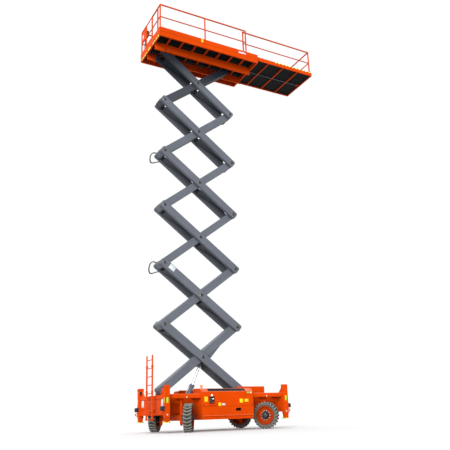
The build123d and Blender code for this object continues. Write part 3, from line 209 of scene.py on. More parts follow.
# %% [markdown]
# ### Moulded, cast, plated and printed finishes
#
# The small parts are rubber, moulded plastic, castings, plated steel and printed vinyl.  Each is one
# colour with a broad mottle, and a grain in relief that catches the light.  One function serves all of
# them, because only the numbers differ: its grain is given in metres, and a real grain of a tenth of a
# millimetre is drawn far coarser, or nothing of it would show.

# %% Finishes for the small parts
def plain(name, colour, roughness, metallic=0.0, grain=0.02, depth=0.15, mottle=0.25, shine=0.5):
    """Colour·(1 ± mottle), roughness ± 0.08, and pits that are grain wide and up to 3 mm·depth deep."""
    material, tree, where = new_material(name)
    # The mottle's clouds are about 110 mm wide.
    clouding = {"Vector": where, "Scale": 9.0, "Detail": 5.0, "Roughness": 0.65}
    cloud = add(tree, "TexNoise", clouding).outputs["Fac"]
    bright = add(tree, "MapRange", span(cloud, 1 - mottle, 1 + mottle)).outputs[0]
    rough = add(tree, "MapRange", span(cloud, max(roughness - 0.08, 0.03), roughness + 0.08)).outputs[0]
    pits = add(tree, "TexNoise", {"Vector": where, "Scale": 1 / grain, "Detail": 3.0}).outputs["Fac"]
    bump = add(tree, "Bump", {"Height": pits, "Strength": depth, "Distance": 0.003})
    tint = add(tree, "HueSaturation", {"Color": hex_colour(colour), "Value": bright})
    inputs = {"Base Color": tint.outputs["Color"], "Roughness": rough, "Metallic": metallic,
              "Normal": bump.outputs["Normal"]}
    if metallic == 0:
        inputs["Specular IOR Level"] = shine
    add(tree, "OutputMaterial", {"Surface": add(tree, "BsdfPrincipled", inputs).outputs[0]})
    return material


# Matt paint gives back no sky, so the deck reads as one dark band.
DECK_BLACK = plain("matt_black_deck_paint", "08090B", 0.8, shine=0.05)
# Sand castings under thin paint: a soft sheen, broken by the sand's grain.
DARK_IRON = plain("black_painted_casting", "17181B", 0.5, grain=0.012, depth=0.3, shine=0.3)
ENGINE_GREY = plain("painted_engine_casting", "4A4C50", 0.6, grain=0.012, depth=0.3)
# Moulded rubber is dull and bluish black, and moulded ABS a little brighter at its edges.
BLACK_RUBBER = plain("moulded_rubber", "141518", 0.7, shine=0.25)
BLACK_PLASTIC = plain("moulded_black_abs", "17181B", 0.45, shine=0.4)
# Ground hard chrome is nearly a mirror, and zinc plate a cloudy grey one.
HARD_CHROME = plain("ground_hard_chrome", "D9DCE0", 0.14, metallic=1.0, depth=0.02, mottle=0.04)
ZINC = plain("zinc_plated_steel", "7E8286", 0.34, metallic=1.0, mottle=0.12)
# Brass under grease: a muted gold rim round each pin.
BRASS = plain("greased_brass_bush", "8E8660", 0.42, metallic=1.0, mottle=0.3)
# Moulded polycarbonate: clean, saturated and glossy, with small bright spots.
AMBER = plain("amber_polycarbonate", "D06008", 0.2, depth=0.05, mottle=0.1)
RED_LENS = plain("red_polycarbonate", "B01208", 0.2, depth=0.05, mottle=0.1)
CLEAR_LENS = plain("ribbed_clear_lens", "DDE3E6", 0.12, depth=0.1, mottle=0.05)
# Printed vinyl: an even colour with a slight gloss.
YELLOW_VINYL = plain("yellow_vinyl", "B8A206", 0.4, depth=0.03, mottle=0.05, shine=0.25)
WHITE_VINYL = plain("white_vinyl", "A2A8AB", 0.4, depth=0.03, mottle=0.03, shine=0.3)
BLUE_VINYL = plain("pale_blue_vinyl", "94AAC0", 0.4, depth=0.03, mottle=0.04, shine=0.3)
GREEN_VINYL = plain("green_vinyl", "6E9A18", 0.4, depth=0.03, mottle=0.08, shine=0.3)
# Reflective tape: a sharp lime that stands out even in shade.
LIME_REFLECTOR = plain("lime_reflective_tape", "7CA814", 0.25, depth=0.05, mottle=0.06)
# Moulded buttons and knobs: plain bright plastic that a gloved hand finds quickly.
RED_PLASTIC = plain("red_push_button", "C01010", 0.35, depth=0.05, mottle=0.05)
GREY_PLASTIC = plain("grey_moulded_knob", "D6D8DA", 0.4, depth=0.05, mottle=0.05)
print("finishes for the small parts mixed")

# %% [markdown]
# ### Hazard tape
#
# Warning stripes lean at 45 degrees.  An image of stripes would need unwrapping on every strip.  The sum
# of a point's three coordinates, divided by the pitch, grows by one from stripe to stripe, so its
# fractional part tells yellow from black on any face.

# %% Striped tape
def hazard(name, pitch):
    """Yellow where the fractional part of (x + y + z)/pitch is under a half, black elsewhere, scuffed."""
    material, tree, where = new_material(name)
    x, y, z = add(tree, "SeparateXYZ", {"Vector": where}).outputs
    total = add(tree, "Math", {0: x, 1: y}, operation="ADD").outputs[0]
    total = add(tree, "Math", {0: total, 1: z}, operation="ADD").outputs[0]
    turns = add(tree, "Math", {0: total, 1: 1 / pitch}, operation="MULTIPLY").outputs[0]
    part = add(tree, "Math", {0: turns}, operation="FRACT").outputs[0]
    stripe = add(tree, "Math", {0: part, 1: 0.5}, operation="GREATER_THAN").outputs[0]
    # Boots and straps scuff it in spots about 30 mm across.
    scuffs = add(tree, "TexNoise", {"Vector": where, "Scale": 30.0, "Detail": 4.0}).outputs["Fac"]
    scuffed = add(tree, "MapRange", span(scuffs, 0.0, 0.35, 0.5, 0.8)).outputs[0]
    clean = add(tree, "Mix", {"Factor": stripe, "A": hex_colour("E8D818"), "B": hex_colour("17181A")},
                data_type="RGBA").outputs["Result"]
    worn = add(tree, "Mix", {"Factor": scuffed, "A": clean, "B": hex_colour("8A8478")},
               data_type="RGBA").outputs["Result"]
    shader = add(tree, "BsdfPrincipled", {"Base Color": worn, "Roughness": 0.45, "Specular IOR Level": 0.25})
    add(tree, "OutputMaterial", {"Surface": shader.outputs[0]})
    return material


# Printed vinyl tape: a loud pattern that carries across a yard.  It is wider on the deck.
DECK_PITCH, FOOT_PITCH = 0.17, 0.09
DECK_STRIPES = hazard("hazard_tape_deck", DECK_PITCH)
FOOT_STRIPES = hazard("hazard_tape_foot", FOOT_PITCH)
print("tape striped every", DECK_PITCH, "and", FOOT_PITCH, "metres")

# %% [markdown]
# ### Working rubber
#
# A tyre's tread is grey with dry dust on its bars' tops, and stays dark down in the gaps.  Noise alone
# would put dust in the gaps too, so the tyre's mesh carries a value called dust, from 0 to 1, and this
# finish reads it.

# %% Tyre rubber
def tyre_rubber(name, rubber, dust):
    """Rubber mixed with dust by the mesh's own dust value times a noise between 0.55 and 1."""
    material, tree, where = new_material(name)
    # The dust breaks up at about 45 mm, and the moulded grain is drawn 12 mm wide so that it shows.
    clouding = {"Vector": where, "Scale": 22.0, "Detail": 6.0, "Roughness": 0.7}
    cloud = add(tree, "TexNoise", clouding).outputs["Fac"]
    grain = add(tree, "TexNoise", {"Vector": where, "Scale": 1 / 0.012, "Detail": 3.0}).outputs["Fac"]
    amount = add(tree, "Attribute", attribute_name="dust").outputs["Fac"]
    broken = add(tree, "MapRange", span(cloud, 0.55, 1.0)).outputs[0]
    patchy = add(tree, "Math", {0: amount, 1: broken}, operation="MULTIPLY").outputs[0]
    colour = add(tree, "Mix", {"Factor": patchy, "A": hex_colour(rubber), "B": hex_colour(dust)},
                 data_type="RGBA").outputs["Result"]
    rough = add(tree, "MapRange", span(cloud, 0.7, 0.95)).outputs[0]
    bump = add(tree, "Bump", {"Height": grain, "Strength": 0.25, "Distance": 0.003})
    shader = add(tree, "BsdfPrincipled", {"Base Color": colour, "Roughness": rough,
                                          "Normal": bump.outputs["Normal"], "Specular IOR Level": 0.25})
    add(tree, "OutputMaterial", {"Surface": shader.outputs[0]})
    return material


# Carbon-filled rubber, moulded: nearly black, and chalky grey where it is dusty.
TYRE_RUBBER = tyre_rubber("dusty_tyre_rubber", "0C0C0D", "74736D")
print("tyre rubber mixed")

# %% [markdown]
# ### Floors
#
# The deck's floors are steel plate, rolled with short raised bars for grip.  Real bars would cost many
# faces and would hardly show from the ground, so they are relief in the finish: two waves at right
# angles, multiplied, leave rows of short bars.

# %% Tread plate
def tread_plate(name, colour):
    """Bars = wave(39 mm)·wave(79 mm), turned by 45 degrees; they are raised, and worn on top."""
    material, tree, where = new_material(name)
    slanted = add(tree, "Mapping", {"Vector": where, "Rotation": (0.0, 0.0, math.radians(45))}).outputs[0]
    # A band texture of scale s repeats every pi/(10 s) metres, so 8 gives 39 mm and 4 gives 79 mm.
    first = add(tree, "TexWave", {"Vector": slanted, "Scale": 8.0}, bands_direction="X").outputs["Fac"]
    second = add(tree, "TexWave", {"Vector": slanted, "Scale": 4.0}, bands_direction="Y").outputs["Fac"]
    bars = add(tree, "Math", {0: first, 1: second}, operation="MULTIPLY").outputs[0]
    bump = add(tree, "Bump", {"Height": bars, "Strength": 0.5, "Distance": 0.004})
    worn = add(tree, "MapRange", span(bars, 0.0, 0.35, 0.6, 0.95)).outputs[0]
    up = add(tree, "SeparateXYZ", {"Vector": add(tree, "NewGeometry").outputs["Normal"]}).outputs["Z"]
    walked = add(tree, "MapRange", span(up, 0.0, 1.0, 0.5, 0.9)).outputs[0]
    trodden = add(tree, "Math", {0: worn, 1: walked}, operation="MULTIPLY").outputs[0]
    colour = add(tree, "Mix", {"Factor": trodden, "A": hex_colour(colour), "B": hex_colour("5C5E62")},
                 data_type="RGBA").outputs["Result"]
    shader = add(tree, "BsdfPrincipled", {"Base Color": colour, "Roughness": 0.7,
                                          "Normal": bump.outputs["Normal"], "Specular IOR Level": 0.08})
    add(tree, "OutputMaterial", {"Surface": shader.outputs[0]})
    return material


# Rolled plate under matt black paint: dark from below, with the bars' tops rubbed grey.
FLOOR_PLATE = tread_plate("black_tread_plate", "08090B")
print("tread plate rolled")

# %% [markdown]
# ### Painting the steel
#
# The imported model names a slot for each of its pieces, such as orange or chrome.  Each slot gets its
# finish here, and a few pieces get one of their own.  For an added piece a slot is looked up as well:
# the one whose stuff is nearest to its finish, which is black plastic for vinyl and for moulded knobs.

# %% Slots and finishes
SLOT_FINISH = {"orange": ENAMEL_ORANGE, "arm_grey": ENAMEL_GREY, "deck_black": DECK_BLACK,
               "dark_iron": DARK_IRON, "tyre": TYRE_RUBBER, "black_rubber": BLACK_RUBBER,
               "black_plastic": BLACK_PLASTIC, "chrome": HARD_CHROME, "engine_grey": ENGINE_GREY,
               "amber_lens": AMBER}
NEAREST_SLOT = {finish.name: slot for slot, finish in SLOT_FINISH.items()}
NEAREST_SLOT |= {finish.name: "chrome" for finish in (ZINC, BRASS)}
NEAREST_SLOT |= {finish.name: "amber_lens" for finish in (RED_LENS, CLEAR_LENS, LIME_REFLECTOR)}

for part in frame["record"]["subparts"]:
    finish = SLOT_FINISH[part["material_slot"]]
    if part["node"].endswith("_floor"):
        finish = FLOOR_PLATE
    # Rims, hubs, knuckles and axles take the darker orange: road grime and painted shade of the arches.
    if part["node"].startswith(("rim_", "hub_", "knuckle_", "axle_")) and finish is ENAMEL_ORANGE:
        finish = WHEEL_ORANGE
    if part["node"].startswith("outer_arm_"):
        finish = OUTER_ARM_GREY
    if part["node"] in ("inner_arm_6", "outer_arm_6"):
        finish = TOP_ARM_GREY
    for slot in nodes[part["node"]].material_slots:
        slot.material = finish

# %% [markdown]
# ## Shapes as whole arrays
#
# Primitives and modifiers could make most of the small parts, but then each would carry its own place
# and turn.  Here every added piece is a few rings of points with a skin over them.  A shape is a pair:
# an array of points and a list of faces.  Shapes are made flat on the XY plane, standing up along Z,
# then put in their places by one turn and one shift.

# %% Rings and skins
def loft(rings, closed=False):
    """Skin a pile of rings.  Face (i, j) joins point j and j + 1 of ring i to the same of ring i + 1."""
    count, sides = rings.shape[:2]
    i = np.arange(count if closed else count - 1)[:, None]
    j = np.arange(sides)[None, :]
    above, beside = (i + 1) % count, (j + 1) % sides
    quads = np.stack([i * sides + j, i * sides + beside, above * sides + beside, above * sides + j], axis=-1)
    faces = quads.reshape(-1, 4).tolist()
    if not closed:
        faces += [list(range(sides))[::-1], list(range((count - 1) * sides, count * sides))]
    return rings.reshape(-1, 3), faces


def merged(*shapes):
    """One shape from several: each one's face numbers move up by the points before it."""
    starts = np.cumsum([0] + [len(points) for points, _ in shapes])
    faces = [[v + start for v in face] for (_, some), start in zip(shapes, starts.tolist()) for face in some]
    return np.concatenate([points for points, _ in shapes]), faces


def turned(profile, sides=24, closed=False):
    """Revolve (radius, height) steps about Z: x = r cos a, y = r sin a, z = h."""
    angle = 2 * np.pi * np.arange(sides) / sides
    radius, height = np.array(profile, float).T[:, :, None]
    rings = np.stack([radius * np.cos(angle), radius * np.sin(angle), height + 0 * angle], axis=-1)
    return loft(rings, closed)


print("a bead turned from three steps has", len(turned([(1, 0), (1, 1), (0.5, 2)])[1]), "faces")

# %% [markdown]
# Two more shapes cover nearly everything else: a flat plate, and a round tube along a path.  The path
# of a hose or a pipe is a Bezier curve, because one has no sharp turns whatever its points are.

# %% Plates, tubes and paths
def slab(wide, high, thick, corner=0.004, edge=0.0008):
    """A plate with cut corners and a chamfered front edge, centred, its back at z = 0."""
    def outline(inset, z):
        w, h, c = wide / 2 - inset, high / 2 - inset, corner
        return [(w, c - h, z), (w, h - c, z), (w - c, h, z), (c - w, h, z),
                (-w, h - c, z), (-w, c - h, z), (c - w, -h, z), (w - c, -h, z)]
    return loft(np.array([outline(0, 0), outline(0, thick - edge), outline(edge, thick)]))


def tube(path, radius, sides=10, side_on=(0.0, 1.0, 0.0)):
    """A ring at each point of a path, square to it: p + r (u cos a + v sin a).  side_on isn't along it."""
    path = np.asarray(path, float)
    along = np.gradient(path, axis=0)
    along /= np.linalg.norm(along, axis=1, keepdims=True)
    across = np.cross(along, side_on)
    across /= np.linalg.norm(across, axis=1, keepdims=True)
    third = np.cross(along, across)
    angle = (2 * np.pi * np.arange(sides) / sides)[:, None]
    return loft(path[:, None] + radius * (across[:, None] * np.cos(angle) + third[:, None] * np.sin(angle)))


def bend(points, steps=40):
    """A Bezier curve: halfway marks (1 − t)·p + t·q between neighbours, again until one is left."""
    t = np.linspace(0, 1, steps)[:, None, None]
    row = np.repeat(np.array(points, float)[None], steps, axis=0)
    while row.shape[1] > 1:
        row = row[:, :-1] * (1 - t) + row[:, 1:] * t
    return row[:, 0]


print("a plate has", len(slab(1, 1, 1)[1]), "faces")

# %% [markdown]
# A small part could be placed by an object's own location and rotation.  Here the turn goes into its
# points, so that every object stays at the origin and patterns on it don't slide.  Putting a shape in
# place needs only the way it faces and which way is up for it.

# %% Places
LEFT, RIGHT = (0, 1, 0), (0, -1, 0)
REAR, FRONT = (-1, 0, 0), (1, 0, 0)


def shifted(shape, by):
    """The same shape with by added to all its points."""
    return shape[0] + by, shape[1]


def put(shape, at, out=(0, 0, 1), up=(0, 0, 1)):
    """Turn a shape so that its Z looks along out, keep its Y near up, and shift it to a place."""
    out = np.array(out, float) / np.linalg.norm(out)
    side = np.cross(up, out)
    if np.linalg.norm(side) < 1e-6:
        side = np.cross((0, 1, 0) if abs(out[1]) < 0.9 else (1, 0, 0), out)
    side /= np.linalg.norm(side)
    return shape[0] @ np.stack([side, np.cross(out, side), out]) + np.array(at, float), shape[1]


def ring_of(shape, count, radius, start=0.0):
    """Copies of a shape on a circle about Z: each is shifted by (r cos a, r sin a, 0)."""
    angles = start + 2 * np.pi * np.arange(count) / count
    places = np.stack([radius * np.cos(angles), radius * np.sin(angles), 0 * angles], axis=-1)
    return merged(*[shifted(shape, place) for place in places])


def extent(node):
    """Lowest and highest corner of a steel piece, as arrays."""
    low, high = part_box(node)
    return np.array(low), np.array(high)


joints = {joint["name"]: joint for joint in frame["record"]["behaviour"]["joints"]}
print(len(joints), "joints give the places of pins and wheels")

# %% Pieces and bolt heads
def piece(name, body, finish, *shapes, slot=None, smooth=40):
    """Make one mesh piece with its finish, and let it ride on a body; smooth is in degrees."""
    slot = slot or NEAREST_SLOT.get(finish.name, "black_plastic")
    points, faces = merged(*shapes)
    mesh = bpy.data.meshes.new(name)
    mesh.from_pydata(points.tolist(), [], faces)
    form = bmesh.new()
    form.from_mesh(mesh)
    bmesh.ops.recalc_face_normals(form, faces=form.faces)
    form.to_mesh(mesh)
    form.free()
    mesh.shade_smooth()
    mesh.set_sharp_from_angle(angle=math.radians(smooth))
    mesh.materials.append(finish)
    thing = bpy.data.objects.new(name, mesh)
    bpy.context.scene.collection.objects.link(thing)
    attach(thing, body)
    return thing


def hex_head(across=0.024, high=0.012):
    """A bolt's head on its washer: six sides, across the flats / (2 cos 30°) in radius, chamfered."""
    r = across / 2 / math.cos(math.pi / 6)
    washer = turned([(r * 1.25, 0), (r * 1.25, 0.0025), (r * 1.15, 0.003)], 14)
    head = turned([(r, 0.001), (r, high * 0.75), (r * 0.84, high)], 6)
    return merged(washer, head)


print("a bolt's head has", len(hex_head()[1]), "faces")

# %% [markdown]
# ## Tyres
#
# A rough-terrain tyre has a rounded carcass and two rows of slanted bars, which meet in a blunt V at
# the middle and run over the shoulders down to the sidewalls.  They could be one bar, an array and a
# bend, but the bars' feet would then leave the carcass at the shoulder.  Here the carcass turns one
# rounded profile, and a bar is a pile of sections that slides along its slanted line.

# %% Carcass and bars
TYRE_RADIUS = float(extent("tyre_rear_right")[1][2]) / 2
TYRE_HALF = 0.1325
CARCASS_SIDES, BARS = 96, 24
SIDEWALL = [(0.276, 0.0), (0.276, 0.085), (0.280, 0.0985), (0.298, 0.1005), (0.306, 0.112),
            (0.312, 0.1135), (0.318, 0.1205), (0.336, TYRE_HALF - 0.003), (0.352, TYRE_HALF - 0.002),
            (0.368, TYRE_HALF - 0.007), (0.380, TYRE_HALF - 0.018), (0.386, TYRE_HALF - 0.034),
            (0.389, 0.05), (0.390, 0.0)]


def carcass():
    """Steps (radius, half width) from the bead out to the middle of the tread, mirrored and turned."""
    steps = np.array(SIDEWALL)
    return turned(np.concatenate([steps, steps[::-1][1:-1] * (1, -1)]), CARCASS_SIDES, closed=True)


def tread_bars(stations=14):
    """All bars.  Along s from 0 to 1 a bar runs out by half·s, leans by lean·(0.5 − s), widens a
    little, and past the shoulder its top drops with the power 2.2 of the way past it."""
    s = np.linspace(0, 1, stations)
    lean, reach, shoulder = 0.062, TYRE_HALF - 0.001, 0.86
    out = 0.004 + (reach - 0.004) * np.minimum(s / shoulder, 1)
    past = np.clip((s - 0.72) / 0.28, 0, 1)
    top = TYRE_RADIUS - 0.052 * past ** 2.2
    foot = np.minimum(top - 0.012, 0.383 - 0.03 * past ** 2)
    middle = lean * (0.5 - np.minimum(s / shoulder, 1)) + 0.008 * np.sin(np.pi * s)
    half = 0.0145 + 0.007 * s
    section = np.array([(-1.25, 0), (-1.0, 0.8), (-0.8, 1), (0.8, 1), (1.0, 0.8), (1.25, 0)])
    around = (middle[:, None] + half[:, None] * section[:, 0]) / TYRE_RADIUS
    radius = foot[:, None] + (top - foot)[:, None] * section[:, 1]
    dust = np.broadcast_to(section[:, 1] > 0.5, radius.shape) * (0.75 + 0.25 * np.cos(np.pi * s / 2))[:, None]
    shapes = []
    for way in (1, -1):
        for turn in 2 * np.pi * np.arange(BARS) / BARS:
            a = turn + around
            width = way * np.broadcast_to(out[:, None], a.shape)
            shapes.append(loft(np.stack([radius * np.cos(a), radius * np.sin(a), width], -1)))
    return merged(*shapes), np.tile(dust.ravel(), len(shapes))


carcass_shape = carcass()
bars_shape, bars_dust = tread_bars()
print(2 * BARS, "bars on a tyre of", round(2 * TYRE_RADIUS, 2), "metres")

# %% [markdown]
# The carcass is dustiest halfway up its sidewall, where the bars throw mud, and cleaner towards the rim
# and down between the bars.  All four wheels use the same two shapes, turned to their own axles.

# %% Four tyres
WHEELS = ("rear_right", "rear_left", "front_right", "front_left")
DUST_RADII, DUST_THERE = [0.30, 0.33, 0.36, 0.383, 0.389], [0.25, 0.45, 0.6, 0.35, 0.12]


def wheel_place(name):
    """A wheel's middle and the way its outer side looks."""
    low, high = extent("rim_" + name)
    axis = np.array(joints["roll_" + name]["axis"], float)
    return (low + high) / 2, axis * np.sign(axis[1] * (1 if "left" in name else -1))


carcass_dust = np.interp(np.hypot(carcass_shape[0][:, 0], carcass_shape[0][:, 1]), DUST_RADII, DUST_THERE)
for name in WHEELS:
    middle, out = wheel_place(name)
    tyre = piece("tyre_tread_" + name, "wheel_" + name, TYRE_RUBBER,
                 put(carcass_shape, middle, out), put(bars_shape, middle, out), smooth=35)
    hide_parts("tyre_" + name)
    dust = tyre.data.attributes.new("dust", "FLOAT", "POINT")
    dust.data.foreach_set("value", np.concatenate([carcass_dust, bars_dust]).astype(np.float32))
print("four tyres of", len(tyre.data.polygons), "faces each")

# %% [markdown]
# ## Wheels
#
# Ten nuts hold each rim to its hub, a screwed cap closes the hub, and a stub of valve stands in the
# rim.  Ten separate nuts could be placed by hand, but they are turned parts on a circle, so one
# profile is revolved once and its copies are set round the hub.

# %% Nuts, hub caps and valves
NUTS, NUT_CIRCLE, NUT_SEAT = 10, 0.143, 0.037
CAP_SEAT = 0.123
VALVE_AT = (0.225, 0, 0.045)
nut = merged(turned([(0.021, 0), (0.021, 0.006), (0.019, 0.008)], 14),
             turned([(0.0165, 0.006), (0.0165, 0.02), (0.0135, 0.024)], 6),
             turned([(0.009, 0.02), (0.009, 0.034), (0.007, 0.036)], 10))
cap = merged(turned([(0.07, 0.0), (0.07, 0.006), (0.064, 0.009)], 24),
             ring_of(hex_head(0.013, 0.008), 6, 0.054))
valve = turned([(0.006, 0), (0.006, 0.03), (0.004, 0.036)], 8)
for name in WHEELS:
    middle, out = wheel_place(name)
    wheel = "wheel_" + name
    nuts = put(ring_of(nut, NUTS, NUT_CIRCLE), middle + NUT_SEAT * out, out)
    piece("wheel_nuts_" + name, wheel, ZINC, nuts)
    piece("hub_cap_" + name, wheel, DARK_IRON, put(shifted(cap, (0, 0, CAP_SEAT)), middle, out))
    piece("valve_" + name, wheel, BLACK_RUBBER, put(shifted(valve, VALVE_AT), middle, out))
print("wheels fitted out")

# %% [markdown]
# ## Labels
#
# Blank vinyl labels are stuck on the pod where the machine carries its notices.  They could be painted
# into the enamel's nodes, but then they would have no edge.  Each is a thin plate with cut corners.

# %% Labels on the right pod
pod_low, pod_high = extent("right_pod_tray")
FACE = pod_low[1] + 0.014
TOP = pod_high[2] - 0.019
LABEL_THICK = 0.002
pod_labels = [("tall_yellow", YELLOW_VINYL, -0.815, 0.955, 0.115, 0.15),
              ("small_yellow", YELLOW_VINYL, -0.335, 0.795, 0.095, 0.105),
              ("white", WHITE_VINYL, -0.198, 0.792, 0.115, 0.056),
              ("square_yellow", YELLOW_VINYL, 0.45, 0.89, 0.13, 0.12),
              ("second_yellow", YELLOW_VINYL, 0.64, 0.9, 0.14, 0.092),
              ("green", GREEN_VINYL, 0.72, 1.143, 0.115, 0.042)]
for name, finish, x, z, wide, high in pod_labels:
    piece("label_" + name, "right_hood", finish, put(slab(wide, high, LABEL_THICK), (x, FACE, z), RIGHT))
dot = turned([(0.03, 0), (0.03, 0.0015), (0.028, LABEL_THICK)], 20)
piece("label_round", "right_hood", WHITE_VINYL, put(dot, (0.811, FACE, 1.143), RIGHT))
box = slab(0.21, 0.05, 0.075, 0.008, 0.006)
box_at = (0.745, pod_high[1] - 0.036, TOP)
piece("pod_top_box", "chassis", ENAMEL_ORANGE, put(box, box_at, (0, 0, 1), (0, 1, 0)))
print(len(pod_labels) + 1, "labels on the pod")

# %% [markdown]
# ## Ground controls
#
# A recess in the right hood holds a dark panel with toggle switches, a key, an hour meter and a stop
# button, and a pale knob stands above it.  They could be drawn on one flat plate, but it is their
# outlines that make them recognisable, so most are turned profiles and the rest are small plates.

# %% Control panel
PANEL_X, PANEL_Z = -0.61, 0.922
DEEP = FACE + 0.058
SEAT = DEEP - 0.006
panel = slab(0.214, 0.209, 0.006, 0.01, 0.001)
piece("control_panel", "right_hood", BLACK_PLASTIC, put(panel, (PANEL_X, DEEP, PANEL_Z), RIGHT))
switch = merged(turned([(0.013, 0), (0.013, 0.004), (0.011, 0.006)], 14),
                turned([(0.004, 0.004), (0.0045, 0.022), (0.003, 0.025)], 8))
rows = [(PANEL_X + dx, SEAT, PANEL_Z + dz) for dz in (0.055, 0.0) for dx in (-0.065, -0.022, 0.022)]
piece("panel_switches", "right_hood", ZINC, *[put(switch, at, RIGHT) for at in rows])
button = turned([(0.014, 0), (0.014, 0.012), (0.021, 0.014), (0.021, 0.022), (0.017, 0.026)], 20)
piece("stop_button", "right_hood", RED_PLASTIC, put(button, (PANEL_X + 0.06, SEAT, PANEL_Z - 0.065), RIGHT))
key = merged(turned([(0.015, 0), (0.015, 0.006), (0.013, 0.008)], 16),
             put(slab(0.006, 0.02, 0.018, 0.002, 0.001), (0, 0, 0.008)))
piece("key_switch", "right_hood", ZINC, put(key, (PANEL_X - 0.055, SEAT, PANEL_Z - 0.065), RIGHT))
screen = put(slab(0.05, 0.032, 0.004, 0.003, 0.001), (PANEL_X + 0.065, SEAT, PANEL_Z + 0.045), RIGHT)
piece("hour_meter", "right_hood", CLEAR_LENS, screen, slot="black_plastic")
knob = turned([(0.026, 0), (0.031, 0.006), (0.031, 0.02), (0.024, 0.03), (0.01, 0.034)], 20)
piece("panel_guard_knob", "right_hood", GREY_PLASTIC, put(knob, (-0.62, FACE, 1.07), RIGHT))
print("ground controls in place")

# %% [markdown]
# ## Pod hardware
#
# The hoods close with quarter-turn latches, and the oval hand holes have rolled rubber rims.  A rim is
# one small closed profile carried round an oval, so it has no seam and no end.

# %% Latches and rims
def oval(long, high, count=32):
    """Points round an oval with straight sides: x = r cos a + sign(cos a)·(long/2 − r), y = r sin a."""
    a = 2 * np.pi * (np.arange(count) + 0.5) / count
    r = high / 2
    return np.stack([r * np.cos(a) + np.sign(np.cos(a)) * (long / 2 - r), r * np.sin(a), 0 * a], axis=-1)


LATCH_X, LATCH_Z = (-0.9, 0.83), 0.775
HOLE_AT, HOLE_WIDE, HOLE_HIGH = (0.33, 0.63), 0.196, 0.088
latch = merged(turned([(0.024, 0), (0.024, 0.003), (0.021, 0.005)], 20),
               put(slab(0.012, 0.038, 0.008, 0.003, 0.002), (0, 0, 0.004)))
loop = oval(HOLE_WIDE, HOLE_HIGH)
RIM_STEPS = [(1.03, 1.06, 0), (1.04, 1.08, 0.004), (1, 1, 0.006), (0.95, 0.9, 0.003), (0.95, 0.9, -0.01)]
rim = loft(np.stack([loop * (long, high, 1) + (0, 0, z) for long, high, z in RIM_STEPS]), closed=True)
for side, out in (("right", RIGHT), ("left", LEFT)):
    face = out[1] * abs(FACE)
    latches = [put(latch, (x, face, LATCH_Z), out) for x in LATCH_X]
    piece(side + "_hood_latches", side + "_hood", DARK_IRON, *latches)
    piece(side + "_oval_rim", "chassis", BLACK_RUBBER, put(rim, (HOLE_AT[0], face, HOLE_AT[1]), out))
print("pods fitted")

# %% [markdown]
# ## Posts and end beams
#
# Each corner post carries reflective tape on its two outward faces, and there are two round tags by
# it.  Its jack foot is edged with stripes, and a lamp has a lens: red at the ladder's end, clear at the
# other.  Four corners could be modelled one by one.  One loop mirrors them by their signs instead, so
# that they agree.

# %% Corner posts
HALF_X, HALF_Y = 0.09, 0.07  # half of a post's length and width
REFLECTOR_Z, TAG_Z, LENS_Z, BOLT_Z = 0.95, 0.531, 1.245, 1.33
FOOT_HALF, LAMP_INSET, LENS_X = 0.1, 0.032, 2.226
lens = turned([(0.022, 0), (0.024, 0.002), (0.021, 0.006), (0.01, 0.008)], 20)
tag = turned([(0.022, 0), (0.022, 0.002), (0.02, 0.003)], 18)
edge = slab(0.196, 0.022, 0.002, 0.002)
for end, x_way in (("rear", -1), ("front", 1)):
    for side, y_way in (("right", -1), ("left", 1)):
        corner = end + "_" + side
        low, high = extent("jack_" + corner)
        post_x, post_y = (low[0] + high[0]) / 2, (low[1] + high[1]) / 2
        face_x, face_y = post_x + x_way * HALF_X, post_y + y_way * HALF_Y
        endwise, sideways = (x_way, 0, 0), (0, y_way, 0)
        piece("reflectors_" + corner, "chassis", LIME_REFLECTOR,
              put(slab(0.065, 0.16, 0.003), (post_x, face_y, REFLECTOR_Z), sideways),
              put(slab(0.04, 0.15, 0.003), (face_x, post_y + y_way * 0.03, REFLECTOR_Z), endwise))
        tag_places = (post_x, face_y, TAG_Z), (x_way * 1.45, y_way * 1.09, 1.03)
        tags = [put(tag, at, sideways) for at in tag_places]
        piece("tags_" + corner, "chassis", WHITE_VINYL, *tags)
        tape_z = low[2] + 0.012
        edges = [put(edge, (post_x + dx * FOOT_HALF, post_y, tape_z), (dx, 0, 0)) for dx in (-1, 1)]
        edges += [put(edge, (post_x, post_y + dy * FOOT_HALF, tape_z), (0, dy, 0)) for dy in (-1, 1)]
        piece("foot_tape_" + corner, "jack_" + corner, FOOT_STRIPES, *edges)
        lamp_y = y_way * (abs(post_y) - HALF_Y - LAMP_INSET)
        piece("lens_" + corner, "chassis", RED_LENS if end == "rear" else CLEAR_LENS,
              put(lens, (x_way * LENS_X, lamp_y, LENS_Z), endwise))
        bolts = [put(hex_head(0.03), (face_x, post_y + dy, BOLT_Z), endwise) for dy in (-0.04, 0.04)]
        piece("bumper_bolts_" + corner, "chassis", DARK_IRON, *bolts)
plate = slab(0.2, 0.24, 0.003, 0.006)
for side, y in (("right", -0.87), ("left", 0.83)):
    piece("end_plate_" + side, "chassis", WHITE_VINYL, put(plate, (-2.17, y, 0.9), REAR))
print("posts and end beams dressed")

# %% [markdown]
# ## Scissor stack
#
# Every pin ends in a brass bush, a keeper ring with two screws and a grease nipple.  Their places are
# worked out from the joints in the record, so they can't drift from the arms: the arms cross at
# cross_k, meet on the left at join_k, and on the right as far beyond the crossing as the left pin is
# before it.

